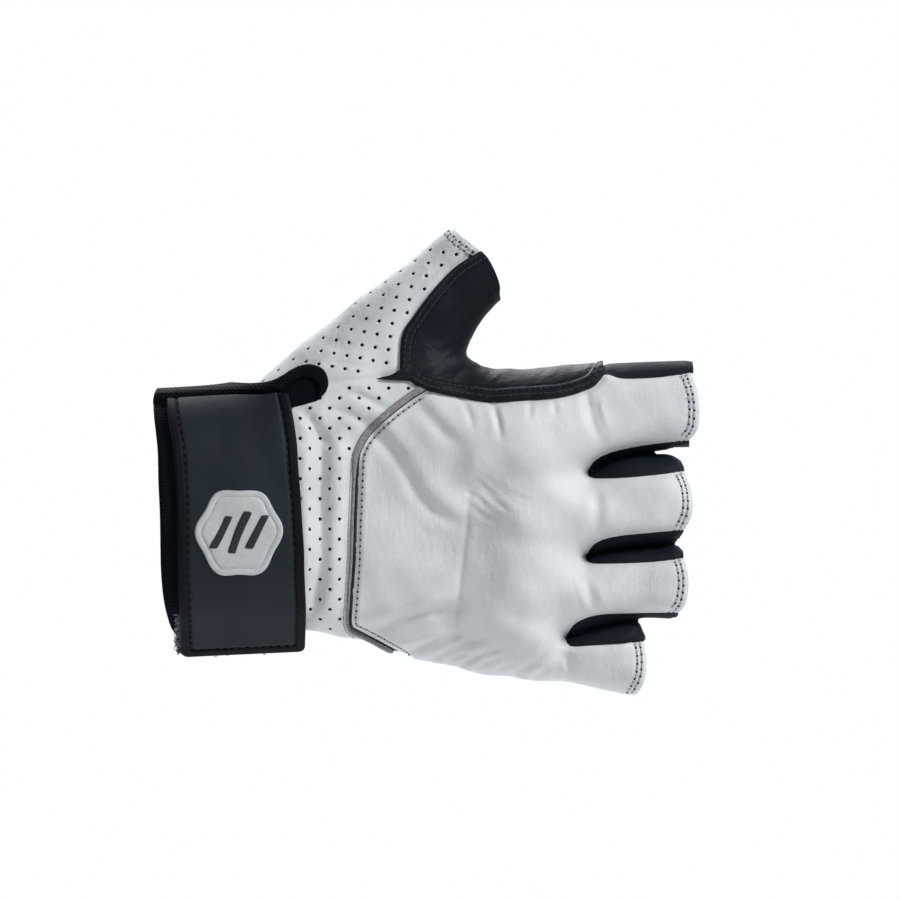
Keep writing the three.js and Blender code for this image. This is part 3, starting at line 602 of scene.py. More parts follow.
def keep(points, tris, wanted):
    """The wanted triangles and the points that they use."""
    tris = tris[wanted]
    used, where = np.unique(tris, return_inverse=True)
    return points[used], where.reshape(-1, 3)


def trimmed(points, tris, depth_at):
    """The part of a surface where a depth, given for its points, is positive."""
    points, tris, good = cut(points, tris, depth_at(points))
    return keep(points, tris, good)


def ringed(points, tris, depth_at, rings):
    """The same surface with lines of points at the given depths from its edge."""
    for ring in rings:
        points, tris, _ = cut(points, tris, depth_at(points) - ring)
    return points, tris


def rim_of(tris):
    """The directed edges that only one triangle has."""
    edges = np.vstack([tris[:, [0, 1]], tris[:, [1, 2]], tris[:, [2, 0]]])
    n = int(tris.max()) + 1
    key = np.minimum(edges[:, 0], edges[:, 1]).astype(np.int64) * n + edges.max(1)
    _, first, count = np.unique(key, return_index=True, return_counts=True)
    return edges[first[count == 1]]


def thickened(points, tris, way, top, under):
    """A closed body between two heights along the way out; gives points, triangles and their parts.

    The parts are 0 on top, 1 under and 2 round the rim.
    """
    n = len(points)
    rim = rim_of(tris)
    a, b = rim.T
    walls = np.vstack([np.stack([b, a, a + n], 1), np.stack([b, a + n, b + n], 1)])
    points = np.vstack([points + way * np.reshape(height, (-1, 1)) for height in (top, under)])
    part = np.repeat([0, 1, 2], [len(tris), len(tris), len(walls)])
    return points, np.vstack([tris, tris[:, ::-1] + n, walls]), part


# Meshes and objects


def mesh_object(name, points, faces, materials, parts=None, sharp=50.0):
    """A smooth-shaded object from points in millimetres."""
    mesh = bpy.data.meshes.new(name)
    faces = np.asarray(faces)
    mesh.vertices.add(len(points))
    mesh.vertices.foreach_set("co", (np.asarray(points) * MM).ravel())
    mesh.loops.add(faces.size)
    mesh.loops.foreach_set("vertex_index", faces.ravel())
    mesh.polygons.add(len(faces))
    mesh.polygons.foreach_set("loop_start", np.arange(len(faces)) * faces.shape[1])
    mesh.polygons.foreach_set("loop_total", np.full(len(faces), faces.shape[1]))
    for material in materials:
        mesh.materials.append(material)
    if parts is not None:
        mesh.polygons.foreach_set("material_index", np.minimum(parts, len(materials) - 1))
    mesh.update(calc_edges=True)
    mesh.validate()
    mesh.polygons.foreach_set("use_smooth", np.ones(len(mesh.polygons), bool))
    mesh.set_sharp_from_angle(angle=math.radians(sharp))
    thing = bpy.data.objects.new(name, mesh)
    bpy.context.scene.collection.objects.link(thing)
    return thing


def dressed(thing, slot, *nodes):
    """Ties a piece to the frame and hides the solids that it stands for; the slot is not used."""
    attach(thing, "root")
    if nodes:
        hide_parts(*nodes)
    return thing


def circles(u, v, sides):
    """Ways round circles, one for each side, from the circles' two axes."""
    turn = np.arange(sides) * 2 * math.pi / sides
    return np.cos(turn)[:, None] * u[..., None, :] + np.sin(turn)[:, None] * v[..., None, :]


def repeated(one, count, size):
    """The faces of a body with a number of points, repeated for a count of such bodies."""
    one = np.array(one)
    return (one[None] + (np.arange(count) * size)[:, None, None]).reshape(-1, one.shape[1])


def tube_faces(rings, sides):
    """The quads round a tube, from its rings of points."""
    spots = [(r * sides, s, (s + 1) % sides) for r in range(rings - 1) for s in range(sides)]
    return [(r + s, r + q, r + q + sides, r + s + sides) for r, s, q in spots]


def tubes(spines, radius, sides):
    """Thin tubes along many short lines of equally many points."""
    way = unit(np.gradient(spines, axis=1))
    u = unit(np.cross(way, [[[0.31, 0.83, 0.46]]]))
    points = (spines[:, :, None] + radius * circles(u, np.cross(way, u), sides)).reshape(-1, 3)
    rings = spines.shape[1]
    return points, repeated(tube_faces(rings, sides), len(spines), rings * sides)


def threads(places, ways, ups, length, radius, arch=0.2, fullness=3.2, sides=6, rings=7):
    """Short threads with rounded ends: one at each place, along its way, bowed to its up side."""
    t = np.linspace(-1, 1, rings)
    fat = np.sqrt(np.maximum(1 - np.abs(t) ** fullness, 0)) * radius
    across = unit(np.cross(ways, ups))
    ups = np.cross(across, ways)
    lift = arch * (0.5 - t**2)
    spine = places[:, None] + ways[:, None] * (t * length / 2)[:, None] + ups[:, None] * lift[:, None]
    circle = circles(across, ups, sides)[:, None] * fat[:, None, None]
    points = (spine[:, :, None] + circle).reshape(-1, 3)
    return points, repeated(tube_faces(rings, sides), len(places), rings * sides)[:, ::-1]


def needle_holes(places, ups, radius, height=0.06, sunk=0.3, upper_radius=0.7, crown=1.2, sides=10):
    """Small flat domes on a surface, one at each place, whose feet are sunk into it."""
    any_way = np.where(np.abs(ups[:, :1]) > 0.8, [[0, 0, 1.0]], [[1.0, 0, 0]])
    u = unit(np.cross(ups, any_way))
    circle = circles(u, np.cross(ups, u), sides)
    lower = places[:, None] + circle * radius - ups[:, None] * sunk
    upper = places[:, None] + circle * radius * upper_radius + ups[:, None] * height
    top = (places + ups * height * crown)[:, None]
    points = np.concatenate([lower, upper, top], 1).reshape(-1, 3)
    one = []
    for s in range(sides):
        q = (s + 1) % sides
        one += [(s, q, q + sides), (s, q + sides, s + sides), (s + sides, q + sides, 2 * sides)]
    return points, repeated(one, len(places), 2 * sides + 1)


def piled(*bodies):
    """Several bodies' points and faces as one, with which body each face is from."""
    points, faces, parts, n = [], [], [], 0
    for i, (p, f) in enumerate(bodies):
        points.append(p)
        faces.append(np.asarray(f) + n)
        parts.append(np.full(len(f), i))
        n += len(p)
    return np.vstack(points), np.vstack(faces), np.concatenate(parts)


# Shader node groups and materials


VECTOR, NUMBER = "NodeSocketVector", "NodeSocketFloat"


class Wiring:
    """Adds nodes to a tree and links them, with plain numbers set on the sockets."""

    def __init__(self, tree):
        self.tree = tree

    def add(self, kind, out=0, settings=(), **inputs):
        """Adds a node, whose inputs are named, or numbered as i0, i1, and gives one output."""
        node = self.tree.nodes.new(kind)
        for key, value in dict(settings).items():
            setattr(node, key, value)
        for key, value in inputs.items():
            name = key.replace("_", " ")
            spot = node.inputs[int(key[1:])] if key[0] == "i" and key[1:].isdigit() else node.inputs[name]
            if isinstance(value, bpy.types.NodeSocket):
                self.tree.links.new(value, spot)
            else:
                spot.default_value = value
        return node.outputs[out]

    def maths(self, operation, a, b=0.0, c=0.0, clamp=False):
        """The result of a sum on up to three numbers."""
        settings = {"operation": operation, "use_clamp": clamp}
        return self.add("ShaderNodeMath", settings=settings, i0=a, i1=b, i2=c)

    def noise(self, place, size, detail=2.0, rough=0.5):
        """A noise whose cells have a size in millimetres."""
        return self.add("ShaderNodeTexNoise", Vector=place, Scale=1000 / size, Detail=detail, Roughness=rough)

    def cells(self, place, scale):
        """How far a place is from the edges of uneven cells."""
        settings = {"feature": "DISTANCE_TO_EDGE"}
        return self.add("ShaderNodeTexVoronoi", settings=settings, Vector=place, Scale=scale)

    def span(self, value, low, high, to_low=0.0, to_high=1.0):
        """A value between two others, carried over to another two."""
        return self.add("ShaderNodeMapRange", i0=value, i1=low, i2=high, i3=to_low, i4=to_high)

    def stretch(self, place, scale, turn=(0, 0, 0)):
        """A place scaled along the three ways and turned."""
        return self.add("ShaderNodeMapping", Vector=place, Scale=scale, Rotation=turn)


def group_of(name, inputs, outputs, build):
    """A shader node group with named inputs and outputs, made once."""
    if name in bpy.data.node_groups:
        return bpy.data.node_groups[name]
    tree = bpy.data.node_groups.new(name, "ShaderNodeTree")
    for label, kind, default in inputs:
        socket = tree.interface.new_socket(name=label, in_out="INPUT", socket_type=kind)
        if default is not None:
            socket.default_value = default
    for label, kind in outputs:
        tree.interface.new_socket(name=label, in_out="OUTPUT", socket_type=kind)
    start, end = tree.nodes.new("NodeGroupInput"), tree.nodes.new("NodeGroupOutput")
    wires = Wiring(tree)
    for label, value in build(wires, {s.name: s for s in start.outputs}).items():
        tree.links.new(value, end.inputs[label])
    return tree


def leather_grain():
    """Pebbled cells with fine pores, and a slow change over the hide."""

    def build(w, given):
        place, size = given["Place"], given["Cells"]
        cells = w.cells(place, size)
        pebbles = w.span(cells, 0.0, 0.35)
        pores = w.add("ShaderNodeTexNoise", Vector=place, Scale=w.maths("MULTIPLY", size, 2.3), Detail=3.0)
        height = w.maths("MULTIPLY_ADD", pebbles, 0.7, w.maths("MULTIPLY", pores, 0.5))
        slow = w.noise(place, 17.0, 3.0)
        return {"Height": height, "Change": w.span(slow, 0.3, 0.7)}

    return group_of(
        "leather_grain",
        [("Place", VECTOR, None), ("Cells", NUMBER, 1400.0)],
        [("Height", NUMBER), ("Change", NUMBER)],
        build,
    )


def leather_creases():
    """Fine crossing wrinkles, drawn out along one way."""

    def build(w, given):
        place = given["Place"]
        bent = w.add("ShaderNodeTexNoise", 1, Vector=place, Scale=110.0, Detail=2.0)
        moved = w.add(
            "ShaderNodeVectorMath", settings={"operation": "MULTIPLY_ADD"},
            i0=bent, i1=(0.006, 0.006, 0.006), i2=place,
        )
        lines = w.span(w.cells(moved, given["Cells"]), 0.0, 0.12)
        swell = w.add("ShaderNodeTexNoise", Vector=moved, Scale=w.maths("MULTIPLY", given["Cells"], 0.6))
        height = w.maths("MULTIPLY_ADD", lines, 0.45, w.maths("MULTIPLY", swell, 0.7))
        return {"Height": height, "Lines": lines}

    return group_of(
        "leather_creases",
        [("Place", VECTOR, None), ("Cells", NUMBER, 190.0)],
        [("Height", NUMBER), ("Lines", NUMBER)],
        build,
    )


def leather_wrinkles():
    """Fine wrinkles drawn out along one way, in some places more than in others."""

    def build(w, given):
        place = given["Place"]
        drawn = w.stretch(place, (1.0, 0.6, 0.4), (0, 0.2, 0))
        fine = w.noise(drawn, 1.5, 4.0, 0.6)
        broad = w.noise(drawn, 5.0, 2.0, 0.5)
        where = w.span(w.noise(place, 26.0, 2.0), 0.4, 0.62, 0.25, 1.0)
        both = w.maths("MULTIPLY_ADD", broad, 1.4, w.maths("MULTIPLY", fine, 0.8))
        return {"Height": w.maths("MULTIPLY", both, where)}

    return group_of(
        "leather_wrinkles", [("Place", VECTOR, None)], [("Height", NUMBER)], build
    )


def soft_soil():
    """Smudges of wear and road dust."""

    def build(w, given):
        broad = w.noise(given["Place"], 24.0, 4.0, 0.62)
        fine = w.noise(given["Place"], 3.2, 3.0, 0.6)
        mixed = w.maths("MULTIPLY_ADD", fine, 0.35, w.maths("MULTIPLY", broad, 0.65))
        return {"Mask": w.maths("MULTIPLY", w.span(mixed, 0.46, 0.66), given["Amount"])}

    return group_of(
        "soft_soil",
        [("Place", VECTOR, None), ("Amount", NUMBER, 0.3)],
        [("Mask", NUMBER)],
        build,
    )


def tape_weave():
    """A close twill of threads."""

    def build(w, given):
        place = given["Place"]
        turned = w.stretch(place, (1, 1, 1), (0, 0.78, 0))
        one, two = (
            w.add("ShaderNodeTexWave", 1, {"bands_direction": way}, Vector=where, Scale=given["Threads"])
            for way, where in (("X", turned), ("Z", place))
        )
        height = w.maths("MULTIPLY_ADD", two, 0.5, w.maths("MULTIPLY", one, 0.7))
        fuzz = w.noise(place, 0.5, 2.0)
        return {"Height": w.maths("MULTIPLY_ADD", fuzz, 0.4, height), "Threads": height}

    return group_of(
        "tape_weave",
        [("Place", VECTOR, None), ("Threads", NUMBER, 260.0)],
        [("Height", NUMBER), ("Threads", NUMBER)],
        build,
    )


def new_material(name):
    """A material with its shader, the object's coordinates and a wiring helper."""
    material = bpy.data.materials.new(name)
    material.use_nodes = True
    tree = material.node_tree
    shader = tree.nodes["Principled BSDF"]
    wires = Wiring(tree)
    place = wires.add("ShaderNodeTexCoord", 3)
    return material, wires, shader, place


def use_group(wires, group, out, **inputs):
    """Places a node group, with its own values, and gives the outputs asked for."""
    node = wires.tree.nodes.new("ShaderNodeGroup")
    node.node_tree = group
    for key, value in inputs.items():
        if isinstance(value, bpy.types.NodeSocket):
            wires.tree.links.new(value, node.inputs[key])
        else:
            node.inputs[key].default_value = value
    return [node.outputs[name] for name in out]


def mix_colour(wires, mask, a, b):
    """The first colour where the mask is 0, and the second where it is 1."""
    node = wires.tree.nodes.new("ShaderNodeMix")
    node.data_type = "RGBA"
    for spot, value in ((0, mask), (6, a), (7, b)):
        if isinstance(value, bpy.types.NodeSocket):
            wires.tree.links.new(value, node.inputs[spot])
        else:
            node.inputs[spot].default_value = value if spot == 0 else (*value, 1.0)
    return node.outputs[2]


def bump_into(wires, shader, height, strength, distance, after=None):
    """Bumps the shader's normal, after another bump if one is given."""
    inputs = {"Height": height, "Strength": strength, "Distance": distance}
    if after is not None:
        inputs["Normal"] = after
    wires.tree.links.new(wires.add("ShaderNodeBump", **inputs), shader.inputs["Normal"])


def leather(name, colour, shade, rough, grain, creases, soil, wrinkles=0.0, specular=0.35):
    """A leather whose colour changes slowly to its shade.

    The grain has a count of cells and a strength, the creases have these and how much painted
    shade darkens their lines, and the soil has an amount and a colour. The wrinkles have a strength
    alone.
    """
    material, w, shader, place = new_material(name)
    height, change = use_group(w, leather_grain(), ("Height", "Change"), Place=place, Cells=grain[0])
    folds, lines = use_group(w, leather_creases(), ("Height", "Lines"), Place=place, Cells=creases[0])
    (dust,) = use_group(w, soft_soil(), ("Mask",), Place=place, Amount=soil[0])
    base = mix_colour(w, change, colour, shade)
    base = mix_colour(w, dust, base, soil[1])
    # painted shade: the crease lines are darkened towards a deeper copy of the shade colour, as far as the
    # creases' third number asks
    seen = mix_colour(w, w.span(lines, 0.0, 1.0, creases[2], 0.0), base, scaled(shade, 0.55))
    w.tree.links.new(seen, shader.inputs["Base Color"])
    roughness = w.maths("MULTIPLY_ADD", change, 0.12, w.maths("MULTIPLY_ADD", height, 0.08, rough - 0.06))
    w.tree.links.new(w.maths("MULTIPLY_ADD", dust, 0.2, roughness, clamp=True), shader.inputs["Roughness"])
    first = w.add("ShaderNodeBump", Height=folds, Strength=creases[1], Distance=0.0011)
    if wrinkles:
        (fine,) = use_group(w, leather_wrinkles(), ("Height",), Place=place)
        first = w.add("ShaderNodeBump", Height=fine, Strength=wrinkles, Distance=0.0005, Normal=first)
    bump_into(w, shader, height, grain[1], 0.0002, first)
    shader.inputs["Specular IOR Level"].default_value = specular
    return material


def woven(name, colour, shade, rough, threads, strength):
    """A woven tape or cloth, whose threads are lighter where they stand out: painted shade darkens the
    hollows between them.
    """
    material, w, shader, place = new_material(name)
    height, threads = use_group(w, tape_weave(), ("Height", "Threads"), Place=place, Threads=threads)
    (dust,) = use_group(w, soft_soil(), ("Mask",), Place=place, Amount=0.35)
    # painted shade: the low parts of the weave take the shade colour and the raised threads the full colour
    base = mix_colour(w, w.span(threads, 0.1, 1.0), shade, colour)
    base = mix_colour(w, dust, base, tuple(1.5 * c + 0.003 for c in colour))
    w.tree.links.new(base, shader.inputs["Base Color"])
    w.tree.links.new(w.span(threads, 0.0, 1.0, rough + 0.08, rough - 0.05), shader.inputs["Roughness"])
    bump_into(w, shader, height, strength, 0.0003)
    shader.inputs["Specular IOR Level"].default_value = 0.06
    return material


def plain_matt(name, colour, shade, rough, size, strength):
    """A plain surface with a fine mottle of shade and relief."""
    material, w, shader, place = new_material(name)
    grain = w.noise(place, size, 3.0, 0.6)
    w.tree.links.new(mix_colour(w, w.span(grain, 0.35, 0.65), shade, colour), shader.inputs["Base Color"])
    w.tree.links.new(w.span(grain, 0.3, 0.7, rough + 0.06, rough - 0.06), shader.inputs["Roughness"])
    bump_into(w, shader, grain, strength, 0.0003)
    return material


PALM_COLOUR, PALM_SHADE = (0.0055, 0.0105, 0.0185), (0.0035, 0.0068, 0.0125)
# the lining's second colour is painted shade for the hollows between its threads
LINING_COLOUR, LINING_PAINTED_SHADE = (0.02, 0.025, 0.034), (0.008, 0.01, 0.014)
PALE_THREAD, PALE_THREAD_SHADE = (0.5, 0.52, 0.53), (0.3, 0.32, 0.34)
DARK_THREAD, DARK_THREAD_SHADE = (0.009, 0.012, 0.017), (0.004, 0.006, 0.009)
# painted shade: the dark colours of the punched holes' walls, the needle holes and the strip in the welt's
# furrow stand for the shade inside them
PAINTED_HOLE_SHADE, DEEP_PAINTED_HOLE_SHADE = (0.03, 0.04, 0.055), (0.015, 0.02, 0.03)
FUZZ_COLOUR, FUZZ_SHADE = (0.3, 0.33, 0.36), (0.03, 0.035, 0.045)
EMBLEM_COLOUR = (0.53, 0.56, 0.57)
PALE_SOIL, DULL_SOIL = (0.30, 0.31, 0.31), (0.02, 0.026, 0.033)


def make_materials(colours):
    """All the glove's materials by name."""
    white, black, strap, tape, welt = (
        tuple(c)[:3] for c in (
            colours.white_leather, colours.black_leather, colours.strap_face, colours.binding_tape,
            colours.welt_edge)
    )
    return {
        "white": leather(
            "white_leather", white, scaled(white, 0.94), rough=0.5, grain=(1500, 0.28),
            creases=(260, 0.04, 0.0), soil=(0.12, PALE_SOIL), wrinkles=0.6),
        "perforated": leather(
            "perforated_leather", white, scaled(white, 0.92), rough=0.52, grain=(1500, 0.28),
            creases=(240, 0.05, 0.0), soil=(0.2, PALE_SOIL), wrinkles=0.6),
        "black": leather(
            "black_leather", black, scaled(black, 0.75), rough=0.48, grain=(1250, 0.3),
            creases=(150, 0.1, 0.0), soil=(0.12, DULL_SOIL), wrinkles=0.7, specular=0.13),
        # painted shade: the third number of its creases darkens the crease lines
        "palm": leather(
            "palm_leather", PALM_COLOUR, PALM_SHADE, rough=0.6, grain=(1100, 0.4),
            creases=(150, 0.1, 0.1), soil=(0.12, DULL_SOIL), specular=0.17),
        "strap": leather(
            "strap_face", strap, scaled(strap, 0.88), rough=0.52, grain=(1900, 0.3),
            creases=(120, 0.03, 0.0), soil=(0.2, scaled(strap, 1.5)), specular=0.2),
        "strap_edge": leather(
            "strap_edge", scaled(strap, 0.3), scaled(strap, 0.2), rough=0.5, grain=(1900, 0.3),
            creases=(120, 0.04, 0.0), soil=(0.1, scaled(strap, 0.8)), specular=0.12),
        # the darker copies given to the tapes and the lining are painted shade between their threads
        "tape": woven("binding_tape", tape, scaled(tape, 0.4), rough=0.75, threads=300.0, strength=0.5),
        "lining": woven("lining_cloth", LINING_COLOUR, LINING_PAINTED_SHADE, rough=0.85, threads=420.0, strength=0.5),
        "fleshside": plain_matt(
            "leather_cut_edge", scaled(white, 0.62), scaled(white, 0.5), rough=0.8, size=0.6, strength=0.4),
        "welt": plain_matt("raw_edge", welt, scaled(welt, 0.6), rough=0.8, size=0.8, strength=0.5),
        "mark": plain_matt(
            "pale_rubber", EMBLEM_COLOUR, scaled(EMBLEM_COLOUR, 0.9), rough=0.55, size=1.2, strength=0.15),
        "mark_dark": plain_matt(
            "emblem_field", scaled(strap, 0.9), scaled(strap, 0.6), rough=0.6, size=0.9, strength=0.3),
        "thread_pale": plain_matt(
            "pale_thread", PALE_THREAD, PALE_THREAD_SHADE, rough=0.7, size=0.35, strength=0.6),
        "thread_dark": plain_matt(
            "dark_thread", DARK_THREAD, DARK_THREAD_SHADE, rough=0.7, size=0.35, strength=0.6),
        # painted shade, for the insides of holes and of the welt's furrow
        "painted_hole_shade": plain_matt("painted_hole_shade", PAINTED_HOLE_SHADE, DEEP_PAINTED_HOLE_SHADE, rough=0.85, size=0.5, strength=0.2),
        "fuzz": plain_matt("loop_threads", FUZZ_COLOUR, FUZZ_SHADE, rough=0.8, size=2.2, strength=0.2),
    }


# Outlines of the panels

FINGER_ENDS = ("index_end", "middle_end", "ring_end", "little_end")
TAPE_WIDTH = 8  # width of the cuff's tape
SPUR_HALF = 8  # points of the patch's spur on each side of its tip
CUFF_SKIPPED = 8  # last points of the cuff's inner line, beyond the thumb's seam


def joined(*pieces):
    """Lines and single points as one outline."""
    return np.vstack([np.asarray(p, float).reshape(-1, 2) for p in pieces])


def outlines():
    """The panels' outlines as the back view shows them.

    They are run along the seam lines, and past the glove's own edge where nothing limits them.
    """
    cuff_inner = seam("cuff") + [TAPE_WIDTH, 0]
    tips = [seam(name) - [0.5, 0] for name in FINGER_ENDS]
    return {
        "back": joined(
            seam("patch_back"), seam("index_top"), [170, 45], seam("index_end"), seam("index_low"),
            seam("middle_top"), seam("middle_end"), seam("middle_low"), seam("ring_top"), seam("ring_end"),
            seam("ring_low"), seam("little_top"), seam("little_end"), [140, -75], [88, -75],
            beside(seam("welt"), 0.75)[::-1]),
        "wrist": joined(
            seam("thumb_seam"), seam("spur")[-SPUR_HALF:], [82.2, 39.7], seam("welt"), [88, -75], [14, -75],
            cuff_inner[::-1][:-CUFF_SKIPPED]),
        "thumb": joined(
            seam("thumb_seam", True), [5.6, 97], seam("thumb_end"), seam("patch_thumb"),
            seam("spur")[:SPUR_HALF]),
        "patch": joined(
            seam("patch_thumb"), seam("spur"), seam("patch_back"), [137.3, 62], seam("thumb_end_low", True)),
        "index side": joined(seam("index_top"), [165.2, 45.4], [164.2, 60], [137.6, 60]),
        "index and middle": joined(
            seam("index_low"), seam("middle_top"), [162.6, 15.5], [161, 18.8], [158.6, 20.9], [164, 21]),
        "middle and ring": joined(
            seam("middle_low"), seam("ring_top"),
            [162.2, -10.6], [160.5, -8.4], [160.3, -7.6], [161.6, -6.2]),
        "ring and little": joined(
            seam("ring_low"), seam("little_top"), [151, -36.8], [149.4, -33], [150, -32.4], [158, -32.2],
            [160.4, -31.2]),
        "palm": joined(
            cuff_inner[::-1], [6, 97], seam("thumb_end"), seam("thumb_end_low")[1:], [163.8, 60], tips[0],
            [163, 20.9], [161.6, 18], tips[1], [161.4, -6.6], [161.6, -7.9], [163.9, -8], [163.9, -9.8],
            [161.8, -10.4], tips[2], [160.2, -32.2], [151, -32.6], [150.7, -35.6], [153.2, -35.8],
            [153.2, -37.8], [150, -38.2], tips[3], [140, -75], [14, -75]),
        "cuff": joined(seam("cuff"), [8, -75], [16, -75], cuff_inner[::-1], [7, 60], [-1, 60]),
        "tape": joined(
            seam("tape_upper"), seam("tape_end")[1:], seam("tape_hollow"), seam("tape_lower")[1:],
            seam("tape_corner")[1:-1]),
        "underlap": joined(
            seam("tape_hollow")[::-1], [51, 37], [49, 35.6], [44, 34.2], [40.9, 33.4], [38.4, 34.6]),
    }


# What is made once and used by every piece

MADE = {}


def worn():
    """The worn form and its skin."""
    if "form" not in MADE:
        MADE["form"] = WornForm()
        MADE["skin"] = MADE["form"].skin()
    return MADE["form"], *MADE["skin"]


def finishes():
    """The materials by name."""
    if "materials" not in MADE:
        MADE["materials"] = make_materials(bpy.context.scene.glove_colours)
    return MADE["materials"]


def panel_lines():
    """The panels' outlines by name."""
    if "outlines" not in MADE:
        MADE["outlines"] = outlines()
    return MADE["outlines"]


# Panels

TURNED_EDGE = 1.3  # width over which a panel's edge turns down
HEM_ROWS = (1.7, 3.1)  # distances of the two stitch rows from a hem
HEM_LEVELS = (1.25, 1.7, 2.4, 3.1, 3.6)  # distances from a hem where its relief needs points
# Ridges beside a line, with channels where the rise is negative: rows of distance, rise and width
HEM_RELIEF = [(1.7, -0.2, 0.5), (3.1, -0.2, 0.5), (2.4, 0.14, 0.4), (0.9, 0.1, 0.5)]
BACK_BESIDE_WELT = [(1.9, -0.25, 0.6), (3, 0.12, 0.8)]
WRIST_BESIDE_WELT = [(2.6, -0.2, 0.6)]
PALM_EDGE_RELIEF = [(2.2, -0.2, 0.5)]


def in_palm(p):
    """How deep points lie on the palm's side of the seam; it is negative on the back's side."""
    near = np.min([np.hypot(p[:, 0] - x, p[:, 2] - z) for x, z in CROTCHES], axis=0)
    return np.maximum(p[:, 1] - SEAM_Y, np.minimum(CROTCH_REACH - near, p[:, 1] - CROTCH_Y))


def panel_of(outline, side=None, before=None, rings=(0.35, 0.9), rows=()):
    """A panel's points, triangles, ways out and depths from its edge, cut from the worn form.

    It is cut to the back's or the palm's side, or to what lies before a depth. It gets lines of
    points at the rings' depths, and at levels beside the rows' lines, so that its relief is smooth.
    """
    form, points, tris = worn()

    def depth_at(p):
        depth = inside_outline(outline, p[:, 0], p[:, 2])
        if before is not None:
            depth = np.minimum(depth, before - p[:, 1])
        if side is not None:
            depth = np.minimum(depth, (in_palm(p) if side == "palm" else -in_palm(p)) + SEAM_OVERLAP)
        return depth

    low, high = outline.min(0) - 2, outline.max(0) + 2
    middle = points[tris].mean(1)[:, [0, 2]]
    points, tris = keep(points, tris, ((middle > low) & (middle < high)).all(1))
    points, tris = trimmed(points, tris, depth_at)
    points, tris = ringed(points, tris, depth_at, rings)
    for line, levels in rows:
        for level in levels:
            points, tris, _ = cut(points, tris, gap_to(line, points) - level)
    return points, tris, form.outward(points), depth_at(points)


def gap_to(line, points):
    """How far points lie from a line, as the back view shows them."""
    return near_line(line, points[:, 0], points[:, 2])[0]


def leather_thickness():
    """Thickness of the panels in millimetres."""
    return bpy.context.scene.glove_sizes.leather_thickness / MM


def leather_panel(name, key, finish, over=0.0, sink=0.6, relief=None, **cutting):
    """One leather panel with a lining: it stands over the form, and sinks at its turned edges."""
    points, tris, way, depth = panel_of(panel_lines()[key], **cutting)
    top = over - sink * bump(depth, TURNED_EDGE)
    if relief is not None:
        top = top + relief(points, depth)
    made = finishes()
    points, tris, part = thickened(points, tris, way, top, -leather_thickness())
    return mesh_object(name, points, tris, [made[finish], made["lining"], made[finish]], part)


def back():
    """The white leather of the back, with a hem at the end of each finger stall."""
    ends = [seam(name) for name in FINGER_ENDS]
    beside_welt = seam("welt")

    def relief(points, depth):
        hems = sum(ridges(HEM_RELIEF, gap_to(line, points)) for line in ends)
        return hems + ridges(BACK_BESIDE_WELT, gap_to(beside_welt, points))

    thing = leather_panel(
        "back_leather", "back", "white", relief=relief, side="back",
        rows=[(line, HEM_LEVELS) for line in ends],
    )
    return dressed(thing, "white_leather", "back_panel")


def lattice(outline, across, down, turn, clear):
    """Places of a staggered lattice of holes, turned, and clear of the edge of an outline."""
    low, high = outline.min(0), outline.max(0)
    centre = (low + high) / 2
    n = int(np.ceil(np.linalg.norm(high - low) / min(across, down)))
    i, j = np.meshgrid(np.arange(-n, n + 1), np.arange(-n, n + 1), indexing="ij")
    u, v = ((i + 0.5 * (j % 2)) * across).ravel(), (j * down).ravel()
    c, s = math.cos(turn), math.sin(turn)
    x, z = centre[0] + u * c - v * s, centre[1] + u * s + v * c
    good = inside_outline(outline, x, z) > clear
    return x[good], z[good]


def perforated(thing, x, z, facing=0.95, below=0.9, above=1.5, sides=12):
    """Punches round holes through a panel at places of the back view that face the viewer."""
    form = worn()[0]
    shown = form.at(x, z)[:, 0] < facing
    places = form.on_back(x[shown], z[shown])
    ways = form.outward(places)
    radius = bpy.context.scene.glove_sizes.hole_diameter / 2 / MM
    u = unit(np.cross(ways, [[1.0, 0, 0]]))
    circle = radius * circles(u, np.cross(ways, u), sides)
    ends = [places[:, None] + circle + ways[:, None] * height for height in (-below, above)]
    points = np.concatenate(ends, 1).reshape(-1, 3)
    wall = np.array(tube_faces(2, sides))
    fan = np.array([(0, k + 1, k) for k in range(1, sides - 1)])
    one = np.vstack([wall[:, [0, 1, 2]], wall[:, [0, 2, 3]], fan, fan[:, ::-1] + sides])
    faces = repeated(one, len(places), 2 * sides)
    # painted shade: the holes' walls take the panel's last material, a dark finish that stands for the shade
    # inside each hole
    hole_shade_finish = len(thing.data.materials) - 1
    punch = mesh_object("punch", points, faces, list(thing.data.materials), np.full(len(faces), hole_shade_finish))
    modifier = thing.modifiers.new("holes", "BOOLEAN")
    modifier.operation, modifier.object, modifier.solver = "DIFFERENCE", punch, "MANIFOLD"
    fixed(thing)
    bpy.data.objects.remove(punch)
    return thing


def fixed(thing):
    """Makes an object's modifiers part of its mesh."""
    seen = thing.evaluated_get(bpy.context.evaluated_depsgraph_get())
    mesh = bpy.data.meshes.new_from_object(seen)
    thing.modifiers.clear()
    thing.data = mesh
    return thing


HIDE_SHARE = 0.7  # share of a perforated panel's thickness that is leather, with the lining beneath
LINING_START = 0.72  # share of the thickness at which the lining starts


